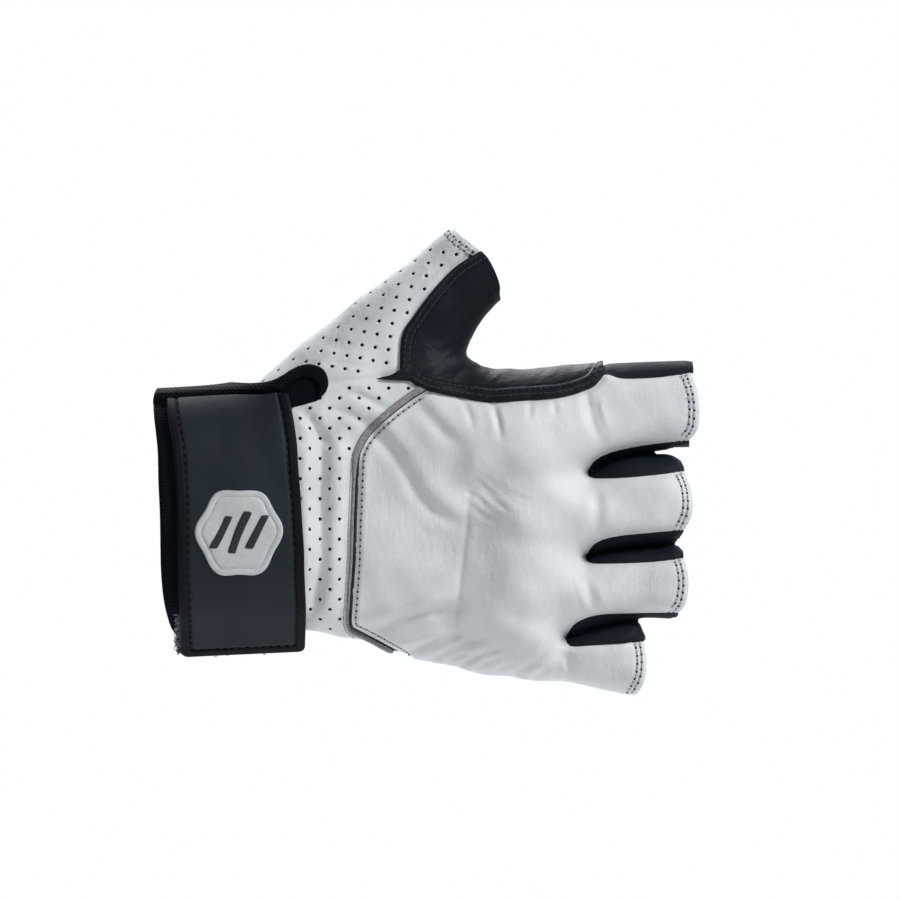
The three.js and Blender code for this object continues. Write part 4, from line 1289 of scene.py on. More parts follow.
def holed_panel(name, key, node, holes, relief):
    """A panel with punched holes: the leather, with its lining as a closed layer beneath."""
    made = finishes()
    thick = leather_thickness()
    points, tris, way, depth = panel_of(panel_lines()[key], side="back")
    top = -0.6 * bump(depth, TURNED_EDGE) + relief(points, depth)
    p, t, part = thickened(points, tris, way, top, -HIDE_SHARE * thick)
    # the last finish, painted hole shade, is for the walls of the punched holes
    finish = [made[f] for f in ("perforated", "fleshside", "perforated", "painted_hole_shade")]
    thing = mesh_object(name, p, t, finish, part)
    perforated(thing, *holes)
    p, t, _ = thickened(points, tris, way, -LINING_START * thick, -thick)
    dressed(mesh_object(name + "_lining", p, t, [made["lining"]]), "binding_tape")
    return dressed(thing, "perforated_leather", node)


def wrist(from_x=38):
    """The punched wrist leather, whose holes start beside the strap."""
    beside_welt = seam("welt")

    def relief(points, depth):
        return ridges(WRIST_BESIDE_WELT, gap_to(beside_welt, points))

    x, z = lattice(panel_lines()["wrist"], across=6.05, down=3.1, turn=0.0, clear=2.2)
    shown = x > from_x
    return holed_panel("wrist_leather", "wrist", "wrist_panel", (x[shown], z[shown]), relief)


def thumb(from_x=30, clear_of_hem=5):
    """The punched thumb leather, with a hem at the thumb's end."""
    end = seam("thumb_end")

    def relief(points, depth):
        return ridges(HEM_RELIEF, gap_to(end, points))

    x, z = lattice(panel_lines()["thumb"], across=5.7, down=2.95, turn=0.62, clear=2)
    shown = (near_line(end, x, z)[0] > clear_of_hem) & (x > from_x)
    return holed_panel("thumb_leather", "thumb", "thumb_panel", (x[shown], z[shown]), relief)


PATCH_OVER = 0.75  # how far the patch stands over the form
PATCH_ROWS = (1.0, 2.6)  # distances of its two stitch rows from its seams
PATCH_LEVELS = (1.4, 2.0, 2.6, 3.0, 3.4, 3.8)  # distances where its relief needs points
PATCH_RELIEF = [(3.7, -0.25, 0.5), (1.0, -0.16, 0.4), (2.6, -0.16, 0.4)]
BORDER_RISE, BORDER_WIDTH, BORDER_FALL = 0.5, 3.0, 0.6  # its raised border
PATCH_EDGE = 0.8  # radius of its rounded edge
INNER_START, INNER_FADE, INNER_SINK = 3.4, 1.5, 0.35  # the softer leather inside the border
CREASE_COUNT, CREASE_SIZES, CREASE_WAY, CREASE_RISE = 4, (12, 22), (2.3, 0.35), 0.009


def patch():
    """The black patch, with a raised border along its seams and soft creases inside."""
    border = np.vstack([seam(name) for name in ("patch_thumb", "spur", "patch_back")])
    rng = np.random.default_rng(5)
    waves = [
        (rng.uniform(*CREASE_SIZES), rng.normal(*CREASE_WAY), rng.uniform(0, WAVE))
        for _ in range(CREASE_COUNT)
    ]

    def creases(x, z):
        bent_x, bent_z = x + 1.5 * np.sin(z / 5.1), z + 1.3 * np.sin(x / 6.3)
        out = np.zeros(len(x))
        for size, turn, phase in waves:
            s = np.sin((bent_x * math.cos(turn) + bent_z * math.sin(turn)) * WAVE / size + phase)
            out += (1 - np.abs(s)) ** 2 * CREASE_RISE * size
        return out

    def relief(points, depth):
        gap = gap_to(border, points)
        raised = BORDER_RISE * (1 - np.clip((gap - BORDER_WIDTH) / BORDER_FALL, 0, 1))
        edge = 1 - rounded(np.minimum(gap, depth + 0.3), PATCH_EDGE)
        inner = np.clip((gap - INNER_START) / INNER_FADE, 0, 1)
        soft = inner * (creases(points[:, 0], points[:, 2]) - INNER_SINK)
        return raised + ridges(PATCH_RELIEF, gap) - edge + soft

    thing = leather_panel(
        "patch_leather", "patch", "black", over=PATCH_OVER, sink=0.0, relief=relief, side="back",
        rings=(0.15, 0.4, 0.8), rows=[(border, PATCH_LEVELS)],
    )
    return dressed(thing, "black_leather", "web_patch")


def strip_of(line, left, right):
    """The outline of a strip between two offsets from a line; the left one is the larger."""
    side = beside(line, 1) - line
    there, back_again = (line + side * np.reshape(offset, (-1, 1)) for offset in (left, right))
    return np.vstack([there, back_again[::-1]])


# Widths along the welt and along the dark strip painted as the shadow in the furrow beside it, in rows of the
# share of its length and the width there
WELT_WIDTHS = [(0, 1.1), (0.26, 1.1), (0.34, 0.5), (0.76, 0.5), (0.82, 0.4), (1, 0.35)]
SHADOW_STRIP_WIDTHS = [(0, 1.1), (0.76, 1.1), (0.84, 0.3), (1, 0.2)]
WELT_FOOT = -1.4  # height of the welt's underside
WELT_EDGE = 0.5  # how far its rounded edge falls


def welt():
    """The raw edge, and a sunken dark strip painted as the shadow in the furrow between it and the back
    leather.
    """
    line = seam("welt")
    share = np.linspace(0, 1, len(line))
    wide, furrow = (np.interp(share, *np.transpose(rows)) for rows in (WELT_WIDTHS, SHADOW_STRIP_WIDTHS))
    made = []
    for name, left, right, top, finish in (
        ("welt_edge", wide - 0.45, -wide - 0.35, 0.42, "welt"),
        # painted shadow: a dark strip sunk into the furrow beside the welt
        ("welt_shadow_strip", furrow, np.full(len(line), 0.12), -0.45, "painted_hole_shade"),
    ):
        strip = strip_of(line, left, right)
        points, tris, way, depth = panel_of(strip, side="back", rings=(0.15, 0.35))
        height = top - WELT_EDGE + WELT_EDGE * rounded(depth, 0.4)
        p, t, _ = thickened(points, tris, way, height, WELT_FOOT)
        made.append(dressed(mesh_object(name, p, t, [finishes()[finish]]), "grey_edge"))
    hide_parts("welt_strip")
    return made


def black_walls():
    """The black leather beside the index stall and between the finger stalls."""
    made = []
    for name, key, node in (
        ("index_side", "index side", "index_side_panel"),
        ("gusset_one", "index and middle", "gusset_index_middle"),
        ("gusset_two", "middle and ring", "gusset_middle_ring"),
        ("gusset_three", "ring and little", "gusset_ring_little"),
    ):
        thing = leather_panel(name, key, "palm", side="back", sink=0.4)
        made.append(dressed(thing, "black_leather", node))
    return made


def palm():
    """The black leather of the palm side, plain but for a channel along its edge."""

    def relief(points, depth):
        return ridges(PALM_EDGE_RELIEF, depth)

    thing = leather_panel("palm_leather", "palm", "palm", side="palm", sink=0.5, relief=relief)
    return dressed(thing, "black_leather", "palm_panel")


# Tapes

SLIT_TAPE_BACK = -1.5  # depth where the slit's tape ends at the glove's side
TAPE_FOOT = -0.2  # height of its underside
TAPE_SWELL, TAPE_OVER_STRAP = 1.6, 1.1  # its thickness, and what is added where it laps the strap
LAP_END, LAP_FADE = 45, 6  # the x where that lap ends, and over how much


def cuff():
    """The tape folded round the leather's edge at the wrist opening."""
    points, tris, way, depth = panel_of(panel_lines()["cuff"], rings=(0.2, 0.6, 1.1))
    swell = rounded(depth, 1.2)
    p, t, _ = thickened(points, tris, way, -0.7 + 1.35 * swell, -0.8 - 1.3 * swell)
    return dressed(mesh_object("cuff_tape", p, t, [finishes()["tape"]]), "binding_tape", "cuff_binding")


def slit_tape():
    """The tape along the slit, and the underlap inside its rounded end."""
    tape = [finishes()["tape"]]
    points, tris, way, depth = panel_of(panel_lines()["tape"], before=SLIT_TAPE_BACK, rings=(0.2, 0.5, 0.9))
    lap = np.clip((LAP_END - points[:, 0]) / LAP_FADE, 0, 1)
    top = 0.3 + (TAPE_SWELL + TAPE_OVER_STRAP * lap) * rounded(depth, 1.1)
    p, t, _ = thickened(points, tris, way, top, TAPE_FOOT)
    thing = dressed(mesh_object("slit_tape", p, t, tape), "binding_tape", "slit_binding")
    points, tris, way, depth = panel_of(panel_lines()["underlap"], before=SLIT_TAPE_BACK, rings=(0.2, 0.6))
    p, t, _ = thickened(points, tris, way, 0.1 + 0.6 * rounded(depth, 0.6), TAPE_FOOT)
    under = mesh_object("slit_underlap", p, t, tape)
    return [thing, dressed(under, "binding_tape", "slit_gusset")]


# Strap

STRAP_COLUMNS, STRAP_ROWS, TAIL_ROWS = 54, 92, 26  # the tail's rows start with the wrist's last one
WRIST_ROUND = 37.8  # radius of the round over which the rows are evenly spread
STRAP_START, STRAP_LIFT = 36.9, -30.0  # the z where the strap starts, and where it leaves the wrist
STRAP_END, STRAP_END_SLANT = -41.9, 1.7  # the z of its free end on the left, and the end's slant
STRAP_SMOOTHING = 14  # rounds of smoothing
STRAP_CORNER = 2.2  # radius of the free end's corners
STRAP_UNDER, STRAP_TOP = 0.95, 2.75  # heights of its faces over the wrist
STRAP_EDGE = 0.9  # radius of its rounded edge
STRAP_PUFF = (3.3, 1.6, 0.45)  # depth where its padded middle starts, the width of that and the rise
STRAP_FURROW = 3.25  # depth of the stitched furrow along its edges
BAND = (0.12, 3.05)  # depths where the edge band starts and ends
TAPE_LOWER = 32.0  # the z above which the slit's tape covers the strap's stitches


class StrapSheet:
    """The strap's surface: wrapped over the wrist, then straight to its free end.

    Its points have their place, their way out and their depth from the strap's edge.
    """

    def __init__(self, form):
        self.across = np.linspace(0, 1, STRAP_COLUMNS)
        self.left, self.right = (seam(name, True, 0.5) for name in ("strap_left", "strap_right"))
        grid = self.with_tail(self.wrapped(form))
        down, over = np.gradient(grid, axis=(0, 1))
        out = unit(np.cross(down, over))
        if out[STRAP_ROWS // 2, STRAP_COLUMNS // 2, 1] > 0:
            out = -out
        steps_u = np.linalg.norm(np.diff(grid, axis=1), axis=2)
        steps_v = np.linalg.norm(np.diff(grid, axis=0), axis=2)
        u = np.concatenate([np.zeros((len(grid), 1)), np.cumsum(steps_u, 1)], 1)
        v = np.concatenate([np.zeros((1, STRAP_COLUMNS)), np.cumsum(steps_v, 0)])
        side, foot = np.minimum(u, u[:, -1:] - u), v[-1:] - v
        near_corner = (side < STRAP_CORNER) & (foot < STRAP_CORNER)
        round_corner = np.hypot(np.maximum(STRAP_CORNER - side, 0), np.maximum(STRAP_CORNER - foot, 0))
        depth = np.where(near_corner, STRAP_CORNER - round_corner, np.minimum(side, foot))
        self.points = np.concatenate([grid, out, depth[..., None]], 2).reshape(-1, 7)
        self.tris = self.triangles(grid, out)
        self.grid, self.out, self.depth, self.side, self.foot = grid, out, depth, side, foot

    def width_at(self, z):
        """The columns' x at a z."""
        start, end = (np.interp(z, line[:, 1], line[:, 0]) for line in (self.left, self.right))
        return start + (end - start) * self.across

    def wrapped(self, form):
        """Rows of points over the wrist, smoothed so that the strap bridges its dips."""
        start, end = (math.asin(z / WRIST_ROUND) for z in (STRAP_START, STRAP_LIFT))
        levels = WRIST_ROUND * np.sin(np.linspace(start, end, STRAP_ROWS))
        grid = np.array([form.on_back(self.width_at(z), np.full(STRAP_COLUMNS, z)) for z in levels])
        for _ in range(STRAP_SMOOTHING):
            y = grid[..., 1]
            y[:, 1:-1] = (y[:, :-2] + 2 * y[:, 1:-1] + y[:, 2:]) / 4
            y[:, 0], y[:, -1] = 2 * y[:, 1] - y[:, 2], 2 * y[:, -2] - y[:, -3]
            y[1:-1] = (y[:-2] + 2 * y[1:-1] + y[2:]) / 4
        return grid

    def with_tail(self, grid):
        """The rows with those of the tail, which runs straight on to the slanted free end."""
        last = grid[-1]
        way = (grid[-1] - grid[-4]).mean(0)
        way[0] = 0
        way = unit(way)
        reach = (STRAP_END + STRAP_END_SLANT * self.across - last[:, 2]) / way[2]
        tail = []
        for share in np.linspace(0, 1, TAIL_ROWS)[1:]:
            p = last + way * (reach * share)[:, None]
            start, end = (np.interp(p[:, 2], line[:, 1], line[:, 0]) for line in (self.left, self.right))
            p[:, 0] = start * (1 - self.across) + end * self.across
            tail.append(p)
        return np.vstack([grid, tail])

    def triangles(self, grid, out):
        """The sheet's triangles, whose faces look out."""
        n, m = grid.shape[:2]
        i, j = np.meshgrid(np.arange(n - 1), np.arange(m - 1), indexing="ij")
        a = (i * m + j).ravel()
        quads = np.stack([a, a + 1, a + m + 1, a + m], 1)
        tris = np.vstack([quads[:, [0, 1, 2]], quads[:, [0, 2, 3]]])
        p = grid.reshape(-1, 3)
        face = np.cross(p[tris[:, 1]] - p[tris[:, 0]], p[tris[:, 2]] - p[tris[:, 0]])
        looks_out = (face * out.reshape(-1, 3)[tris[:, 0]]).sum() > 0
        return tris if looks_out else tris[:, ::-1]

    def along_edges(self, inward, pitch, end_columns=40):
        """Places, ways along and ways out a pitch apart, in from the two sides and the free end."""
        n, m = self.depth.shape
        rows = [i for i in range(n) if self.foot[i, 0] > inward + 1]
        halves = (range(m // 2), range(m - 1, m // 2, -1))
        lines = [[(i, self.column_at(i, columns, inward)) for i in rows] for columns in halves]
        low = np.interp(inward, self.foot[::-1, m // 2], np.arange(n)[::-1])
        first, last = lines[0][-1][1] + 1, lines[1][-1][1] - 1
        lines.append([(low, j) for j in np.linspace(first, last, end_columns)])
        places, ways, outs = [], [], []
        for line in lines:
            at = np.array([self.between(self.grid, *spot) for spot in line])
            out = np.array([self.between(self.out, *spot) for spot in line])
            good = at[:, 2] < TAPE_LOWER
            at, out = at[good], out[good]
            run = lengths_along(at)
            spots = np.arange(pitch / 2, run[-1], pitch)
            place = np.stack([np.interp(spots, run, at[:, k]) for k in range(3)], 1)
            way = np.gradient(place, axis=0)
            places.append(place)
            ways.append(unit(way))
            outs.append(np.stack([np.interp(spots, run, out[:, k]) for k in range(3)], 1))
        return np.vstack(places), np.vstack(ways), np.vstack(outs)

    def column_at(self, row, columns, inward):
        """The place between a row's columns that lies a distance in from the strap's side."""
        return np.interp(inward, self.side[row, list(columns)], list(columns))

    def between(self, values, row, column):
        """A value of the sheet at a place between its rows and columns."""
        i, j = min(int(row), len(values) - 2), min(int(column), values.shape[1] - 2)
        s, t = row - i, column - j
        upper = values[i, j] * (1 - t) + values[i, j + 1] * t
        return upper * (1 - s) + (values[i + 1, j] * (1 - t) + values[i + 1, j + 1] * t) * s

    def piece(self, depth_at, rings, clear=0.9):
        """Part of the strap that keeps clear of the slit's tape: points, triangles and ways out."""
        lower = seam("tape_lower", True)
        under_tape = self.points[:, 2] - np.interp(self.points[:, 0], *lower.T)
        points, tris, good = cut(self.points, self.tris, -clear - under_tape)
        points, tris = keep(points, tris, good)
        points, tris = trimmed(points, tris, depth_at)
        points, tris = ringed(points, tris, depth_at, rings)
        return points, tris, unit(points[:, 3:6])

    def body(self, depth_at, rings, heights_at):
        """A closed body on the strap, with the heights that its depth gives."""
        points, tris, way = self.piece(depth_at, rings)
        return thickened(points[:, :3], tris, way, *heights_at(depth_at(points)))


def strap_sheet():
    """The strap's sheet, made once."""
    if "strap" not in MADE:
        MADE["strap"] = StrapSheet(worn()[0])
    return MADE["strap"]


def strap():
    """The strap with its stitched furrow and padded middle, and the raised band along its edge."""
    made = finishes()
    sheet = strap_sheet()
    middle, half = (STRAP_TOP + STRAP_UNDER) / 2, (STRAP_TOP - STRAP_UNDER) / 2

    def face_heights(depth):
        start, width, rise = STRAP_PUFF
        puff = rise * rounded(depth - start, width) * (depth > start)
        edge = half * rounded(depth, STRAP_EDGE)
        return middle + edge + puff - 0.35 * bump(depth - 3.2, 0.35), middle - edge

    def band_depth(p):
        return np.minimum(p[:, 6] - BAND[0], BAND[1] - p[:, 6])

    def band_heights(depth):
        return STRAP_TOP - 0.25 + 0.6 * rounded(depth, STRAP_EDGE), STRAP_TOP - 0.5

    p, t, part = sheet.body(lambda p: p[:, 6], (0.2, 0.5, 0.9, 3.0, 3.3, 3.8, 4.6), face_heights)
    face = mesh_object("strap_leather", p, t, [made["strap"], made["tape"], made["strap_edge"]], part, 60)
    dressed(face, "strap_leather", "wrist_strap")
    p, t, _ = sheet.body(band_depth, (0.15, 0.4, 0.8, 1.2), band_heights)
    border = mesh_object("strap_edge_band", p, t, [made["strap_edge"]])
    return [face, dressed(border, "strap_leather", "strap_border")]


EMBLEM_X, EMBLEM_Z, EMBLEM_SIZE = 25.0, -4.5, 27.0
EMBLEM_FOOT = STRAP_TOP + 0.4
# The emblem's bars, in rows of their shift from its middle and half their height
EMBLEM_BARS = [(-5.4, 5.0), (0, 6.4), (5.4, 5.0)]
BAR_HALF, BAR_LEAN = 1.35, 2.6  # half a bar's width, and how far its ends are shifted


def emblem():
    """A rounded hexagon with three slanted bars."""
    made = finishes()
    sheet = strap_sheet()
    turn = np.linspace(0, 2 * math.pi, 73)[:-1]
    radius = EMBLEM_SIZE / 2 * (1 - 0.045 * (1 - np.cos(6 * turn)))
    hexagon = np.stack([EMBLEM_X + radius * np.cos(turn), EMBLEM_Z + radius * np.sin(turn)], 1)

    def field_heights(depth):
        return EMBLEM_FOOT + 0.75 * rounded(depth, 0.5) - 0.35 * bump(depth - 1.9, 0.3), EMBLEM_FOOT - 0.2

    def bar_heights(depth):
        return EMBLEM_FOOT + 0.7 + 0.4 * rounded(depth, 0.4), EMBLEM_FOOT + 0.4

    def body(outline, rings, heights):
        return sheet.body(lambda p: inside_outline(outline, p[:, 0], p[:, 2]), rings, heights)

    p, t, _ = body(hexagon, (0.2, 0.5, 1.6, 1.9, 2.3), field_heights)
    field = mesh_object("emblem_field", p, t, [made["mark"]])
    dressed(field, "emblem", "strap_emblem")
    bars = []
    for shift, tall in EMBLEM_BARS:
        corners = [(-BAR_HALF, -1), (BAR_HALF, -1), (BAR_HALF, 1), (-BAR_HALF, 1)]
        shape = [(EMBLEM_X + shift + a + b * BAR_LEAN, EMBLEM_Z + b * tall) for a, b in corners]
        bars.append(body(np.array(shape), (0.15, 0.4), bar_heights)[:2])
    p, t, _ = piled(*bars)
    lines = mesh_object("emblem_bars", p, t, [made["mark_dark"]])
    return [field, dressed(lines, "emblem")]


PAD_TOP, PAD_MARGIN = -33.4, 1.2  # the z where the pad starts, and its distance from the strap's edge
PAD_ROUND = 0.8  # radius of its rounded edge
LOOP_COUNT, LOOPS_ON_LEFT = 420, 0.55
LOOP_SIZES, LOOP_REACH, LOOP_SPREAD, LOOP_RADIUS = (0.7, 1.6), 1.3, 0.6, 0.13
LEFTWARD, DOWNWARD = (-1.0, 0.1, -0.15), (0.0, 0.25, -1.0)  # the ways in which the loops stick out


def fuzz():
    """A pad behind the strap's free end, with small thread loops that stick out past its edges."""
    made = finishes()
    sheet = strap_sheet()

    def pad_depth(p):
        return np.minimum(p[:, 6] - PAD_MARGIN, PAD_TOP - p[:, 2])

    def pad_heights(depth):
        swell = rounded(depth, PAD_ROUND)
        return 0.55 + 0.25 * swell, -0.6 * swell

    p, t, _ = sheet.body(pad_depth, (0.3, 0.8), pad_heights)
    pad = mesh_object("loop_pad_base", p, t, [made["tape"]])
    dressed(pad, "loop_fuzz", "loop_pad")
    rng = np.random.default_rng(3)
    n = LOOP_COUNT
    last = len(sheet.grid) - 1
    rows = rng.integers(STRAP_ROWS - 2, last, n)
    left = rng.random(n) < LOOPS_ON_LEFT
    columns = np.where(left, rng.integers(0, 3, n), rng.integers(0, STRAP_COLUMNS - 1, n))
    rows = np.where(left, rows, last - 1 - rng.integers(0, 3, n))
    base = sheet.grid[rows, columns] + sheet.out[rows, columns] * rng.uniform(-0.6, 0.9, n)[:, None]
    away = unit(np.where(left[:, None], [LEFTWARD], [DOWNWARD]) + rng.normal(0, 0.35, (n, 3)))
    side = unit(np.cross(away, rng.normal(0, 1, (n, 3))))
    size = rng.uniform(*LOOP_SIZES, n)[:, None]
    t = np.linspace(0, math.pi, 8)[None]
    far, wide = np.sin(t) * size * LOOP_REACH, np.cos(t) * size * LOOP_SPREAD
    spines = base[:, None] + away[:, None] * far[..., None] + side[:, None] * wide[..., None]
    loops = mesh_object("loop_threads", *tubes(spines, LOOP_RADIUS, 4), [made["fuzz"]])
    return [pad, dressed(loops, "loop_fuzz")]


# Stitches

ROW_END = 0.6  # how far a row starts from the end of its line


def row_on_back(line, pitch, lift, end=ROW_END, facing=0.97):
    """Places, ways along and ways out of a row of stitches where the back faces the viewer."""
    form = worn()[0]
    flat, way = evenly(line, pitch, end, end)
    good = form.at(flat[:, 0], flat[:, 1])[:, 0] < facing
    flat, way = flat[good], way[good]
    along = unit(form.on_back(*(flat + way * 0.5).T) - form.on_back(*(flat - way * 0.5).T))
    place = form.on_back(*flat.T)
    out = form.outward(place)
    return place + out * lift, along, out


def stitch_rows(name, rows, pitch, share, radius, hole=0.4, thread="thread_pale", slot="white_leather"):
    """Rows of stitches, each a line and its lift: the threads as one object, the holes as another.

    A thread fills its share of the pitch, and the needle holes, dark domes painted as the shade in each hole,
    lie between the threads.
    """
    made = finishes()
    all_threads, all_holes = [], []
    for line, lift in rows:
        place, along, out = row_on_back(line, pitch, lift)
        if len(place) < 2:
            continue
        all_threads.append(threads(place, along, out, pitch * share, radius))
        place, along, out = row_on_back(line, pitch, lift - 0.05, ROW_END + pitch / 2)
        all_holes.append(needle_holes(place, out, hole))
    p, f, _ = piled(*all_threads)
    top = mesh_object(name, p, f, [made[thread]])
    p, f, _ = piled(*all_holes)
    # painted shade: the needle holes are dark domes that stand for the shade in each hole
    dots = mesh_object(name + "_holes", p, f, [made["painted_hole_shade"]])
    return [dressed(top, slot), dressed(dots, slot)]


def stitches():
    """All the stitch rows."""
    pitch = bpy.context.scene.glove_sizes.stitch_pitch / MM
    hems = [seam(name) for name in (*FINGER_ENDS, "thumb_end")]
    rows = [(beside(line, -gap), 0.0) for line in hems for gap in HEM_ROWS]
    made = stitch_rows("hem_stitches", rows, pitch, share=0.62, radius=0.28, hole=0.5)
    line = seam("welt")[2:-9]
    rows = [(beside(line, 2.3), -0.05)]
    made += stitch_rows("welt_stitches", rows, pitch * 0.85, share=0.66, radius=0.26, hole=0.42)
    upright = line[line[:, 1] < 20]
    rows = [(beside(upright, -1.5), -0.1)]
    made += stitch_rows("welt_edge_stitches", rows, pitch * 0.7, share=0.7, radius=0.22, hole=0.26)
    borders = (seam("patch_thumb"), seam("patch_back"))
    rows = [(beside(line, gap), 1.2) for line in borders for gap in PATCH_ROWS]
    made += stitch_rows(
        "patch_stitches", rows, pitch * 0.8, share=0.7, radius=0.29, thread="thread_dark",
        slot="black_leather")
    return made + [strap_stitches(pitch)]


def strap_stitches(pitch):
    """The row of stitches in the furrow along the strap's edges."""
    place, along, out = strap_sheet().along_edges(STRAP_FURROW, pitch)
    points, faces = threads(place + out * (STRAP_TOP - 0.15), along, out, pitch * 0.66, 0.26)
    return dressed(mesh_object("strap_stitches", points, faces, [finishes()["thread_dark"]]), "strap_leather")


# Stage

# Lights, in rows of their name, place in metres, size, power and colour
LIGHTS = [
    ("key", (1.1, -0.68, 0.92), 0.4, 18.5, (1, 0.99, 0.97)),
    ("fill", (-0.15, -1.4, 0.75), 0.9, 3.4, (0.95, 0.97, 1)),
    ("upper rim", (-0.15, 0.8, 0.8), 0.7, 12, (0.97, 0.98, 1)),
    ("lower rim", (0.15, 0.6, -0.75), 0.6, 8, (0.93, 0.96, 1)),
]
LIT_PLACE = (0.08, 0, 0.01)
FLOOR_HALF, FLOOR_LEVEL = 0.6, -0.25
VIEW_X, VIEW_Z = 0.0899, 0.0205  # the place in the middle of the picture
SENSOR = 36


def stage():
    """A pale floor, soft lights and the camera of the back view."""
    scene = bpy.context.scene
    sizes = scene.glove_sizes
    world = bpy.data.worlds.new("studio")
    world.use_nodes = True
    scene.world = world
    tree = world.node_tree
    background = tree.nodes["Background"]
    w = Wiring(tree)
    seen = tree.nodes.new("ShaderNodeLightPath").outputs["Is Camera Ray"]
    way = w.add("ShaderNodeSeparateXYZ", 1, Vector=w.add("ShaderNodeTexCoord"))
    room = w.span(way, 0.0, 1.0, sizes.room_light, sizes.backdrop_light)
    strength = w.add("ShaderNodeMix", settings={"data_type": "FLOAT"}, i0=seen, i2=room, i3=1.02)
    tree.links.new(strength, background.inputs["Strength"])
    background.inputs["Color"].default_value = (0.97, 0.98, 1.0, 1)
    mesh = bpy.data.meshes.new("floor")
    s = FLOOR_HALF
    corners = [(x, y, FLOOR_LEVEL) for x, y in ((-s, -s), (s, -s), (s, s), (-s, s))]
    mesh.from_pydata(corners, [], [(0, 1, 2, 3)])
    floor = bpy.data.objects.new("floor", mesh)
    floor.location = (0.08, 0, 0)
    scene.collection.objects.link(floor)
    mesh.materials.append(plain_matt("floor_paint", (0.82, 0.83, 0.84), (0.79, 0.8, 0.81), 0.75, 30, 0.02))
    for name, where, size, power, colour in LIGHTS:
        light = bpy.data.lights.new(name, "AREA")
        light.size, light.energy, light.color = size, power, colour
        lamp = bpy.data.objects.new(name, light)
        lamp.location = where
        lamp.rotation_mode = "QUATERNION"
        lamp.rotation_quaternion = (Vector(LIT_PLACE) - Vector(where)).to_track_quat("-Z", "Y")
        scene.collection.objects.link(lamp)
    camera = bpy.data.cameras.new("camera")
    camera.sensor_width = SENSOR
    camera.lens = SENSOR * sizes.camera_distance / sizes.field_width
    camera.clip_start, camera.clip_end = 0.05, 20
    eye = bpy.data.objects.new("camera", camera)
    eye.location = (VIEW_X, -sizes.camera_distance, VIEW_Z)
    eye.rotation_euler = (math.pi / 2, 0, 0)
    scene.collection.objects.link(eye)
    scene.camera = eye
    scene.view_settings.view_transform = "Standard"
    scene.view_settings.look = "None"


# Add-on


def length(name, description, default):
    """A length of the sizes panel, in metres."""
    return bpy.props.FloatProperty(
        name=name, description=description, default=default, unit="LENGTH", precision=4
    )


def colour(name, description, default):
    """A colour of the colours panel."""
    return bpy.props.FloatVectorProperty(
        name=name, description=description, default=default, subtype="COLOR", size=3, min=0, max=1
    )


class GLOVE_PG_sizes(bpy.types.PropertyGroup):
    leather_thickness: length("Leather thickness", "Thickness of the panels with their lining", 0.0015)
    hole_diameter: length("Hole diameter", "Diameter of the punched holes", 0.0011)
    stitch_pitch: length("Stitch pitch", "Distance from one needle hole to the next", 0.0024)
    camera_distance: length("Camera distance", "Distance of the camera from the glove's middle plane", 2.4)
    field_width: length("Field width", "Width that the picture shows at the glove's middle plane", 0.279)
    room_light: bpy.props.FloatProperty(
        name="Room light", description="Strength of the room's light from the front", default=0.18, min=0
    )
    backdrop_light: bpy.props.FloatProperty(
        name="Backdrop light", description="Strength of the light that the pale backdrop gives",
        default=0.9, min=0
    )


class GLOVE_PG_colours(bpy.types.PropertyGroup):
    white_leather: colour(
        "White leather", "Colour of the back, wrist and thumb leather", (0.68, 0.715, 0.735)
    )
    black_leather: colour("Black leather", "Colour of the web patch", (0.0062, 0.0103, 0.0165))
    strap_face: colour("Strap", "Colour of the wrist strap", (0.0115, 0.0185, 0.028))
    binding_tape: colour("Tape", "Colour of the woven tapes", (0.0028, 0.005, 0.0092))
    welt_edge: colour("Welt", "Colour of the raw edge beside the wrist leather", (0.3, 0.29, 0.3))


class GLOVE_OT_back(bpy.types.Operator):
    """Makes the white leather of the back and of the finger stalls"""

    bl_idname = "glove.back"
    bl_label = "Back"

    def execute(self, context):
        back()
        return {"FINISHED"}


class GLOVE_OT_wrist(bpy.types.Operator):
    """Makes the punched white leather of the wrist"""

    bl_idname = "glove.wrist"
    bl_label = "Wrist"

    def execute(self, context):
        wrist()
        return {"FINISHED"}


class GLOVE_OT_thumb(bpy.types.Operator):
    """Makes the punched white leather of the thumb"""

    bl_idname = "glove.thumb"
    bl_label = "Thumb"

    def execute(self, context):
        thumb()
        return {"FINISHED"}


class GLOVE_OT_patch(bpy.types.Operator):
    """Makes the black patch between the thumb and the index stall"""

    bl_idname = "glove.patch"
    bl_label = "Web patch"

    def execute(self, context):
        patch()
        return {"FINISHED"}


class GLOVE_OT_welt(bpy.types.Operator):
    """Makes the grey raw edge beside the wrist leather"""

    bl_idname = "glove.welt"
    bl_label = "Welt"

    def execute(self, context):
        welt()
        return {"FINISHED"}


class GLOVE_OT_walls(bpy.types.Operator):
    """Makes the black leather beside and between the finger stalls"""

    bl_idname = "glove.walls"
    bl_label = "Stall walls"

    def execute(self, context):
        black_walls()
        return {"FINISHED"}


class GLOVE_OT_palm(bpy.types.Operator):
    """Makes the black leather of the palm side"""

    bl_idname = "glove.palm"
    bl_label = "Palm"

    def execute(self, context):
        palm()
        return {"FINISHED"}


class GLOVE_OT_tapes(bpy.types.Operator):
    """Makes the tapes round the cuff and along the slit"""

    bl_idname = "glove.tapes"
    bl_label = "Tapes"

    def execute(self, context):
        cuff()
        slit_tape()
        return {"FINISHED"}


class GLOVE_OT_strap(bpy.types.Operator):
    """Makes the strap with its raised edge"""

    bl_idname = "glove.strap"
    bl_label = "Wrist strap"

    def execute(self, context):
        strap()
        return {"FINISHED"}


class GLOVE_OT_emblem(bpy.types.Operator):
    """Makes the plain hexagon on the strap"""

    bl_idname = "glove.emblem"
    bl_label = "Emblem"

    def execute(self, context):
        emblem()
        return {"FINISHED"}


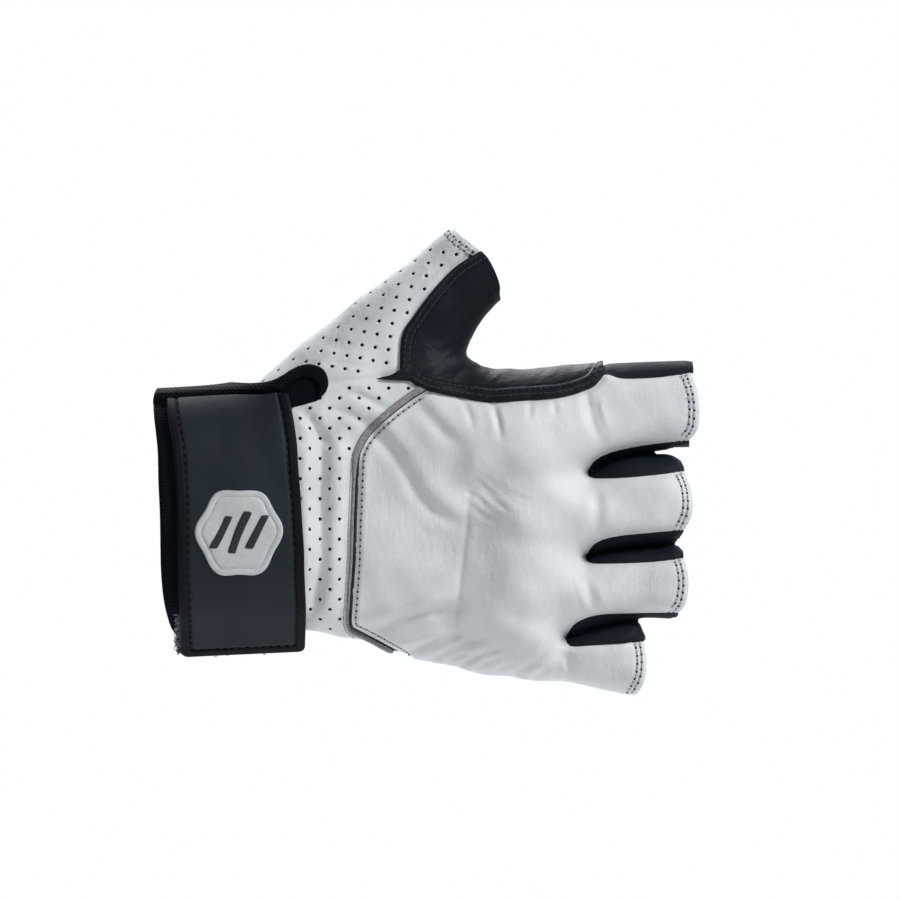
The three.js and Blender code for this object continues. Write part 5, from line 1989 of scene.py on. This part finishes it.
class GLOVE_OT_fuzz(bpy.types.Operator):
    """Makes the loops behind the strap's free end"""

    bl_idname = "glove.fuzz"
    bl_label = "Loop fuzz"

    def execute(self, context):
        fuzz()
        return {"FINISHED"}


class GLOVE_OT_stitches(bpy.types.Operator):
    """Makes the rows of stitches and needle holes"""

    bl_idname = "glove.stitches"
    bl_label = "Stitches"

    def execute(self, context):
        stitches()
        return {"FINISHED"}


class GLOVE_OT_stage(bpy.types.Operator):
    """Makes the floor, the lights and the camera"""

    bl_idname = "glove.stage"
    bl_label = "Stage"

    def execute(self, context):
        stage()
        return {"FINISHED"}


PIECES = (
    GLOVE_OT_back, GLOVE_OT_wrist, GLOVE_OT_thumb, GLOVE_OT_patch, GLOVE_OT_welt, GLOVE_OT_walls,
    GLOVE_OT_palm, GLOVE_OT_tapes, GLOVE_OT_strap, GLOVE_OT_emblem, GLOVE_OT_fuzz, GLOVE_OT_stitches,
    GLOVE_OT_stage,
)


class GLOVE_PT_pieces(bpy.types.Panel):
    bl_label = "Motorcycle glove"
    bl_space_type = "VIEW_3D"
    bl_region_type = "UI"
    bl_category = "Glove"

    def draw(self, context):
        for piece in PIECES:
            self.layout.operator(piece.bl_idname)
        for group in (context.scene.glove_sizes, context.scene.glove_colours):
            for name in group.__annotations__:
                self.layout.prop(group, name)


CLASSES = (GLOVE_PG_sizes, GLOVE_PG_colours, *PIECES, GLOVE_PT_pieces)


def register():
    """Adds the operators, the panel and the settings."""
    for each in CLASSES:
        bpy.utils.register_class(each)
    bpy.types.Scene.glove_sizes = bpy.props.PointerProperty(type=GLOVE_PG_sizes)
    bpy.types.Scene.glove_colours = bpy.props.PointerProperty(type=GLOVE_PG_colours)


def unregister():
    """Takes them off again."""
    del bpy.types.Scene.glove_colours
    del bpy.types.Scene.glove_sizes
    for each in reversed(CLASSES):
        bpy.utils.unregister_class(each)


def main():
    register()
    bpy.ops.glove.back()
    bpy.ops.glove.wrist()
    bpy.ops.glove.thumb()
    bpy.ops.glove.patch()
    bpy.ops.glove.welt()
    bpy.ops.glove.walls()
    bpy.ops.glove.palm()
    bpy.ops.glove.tapes()
    bpy.ops.glove.strap()
    bpy.ops.glove.emblem()
    bpy.ops.glove.fuzz()
    bpy.ops.glove.stitches()
    bpy.ops.glove.stage()


if __name__ == "__main__":
    main()
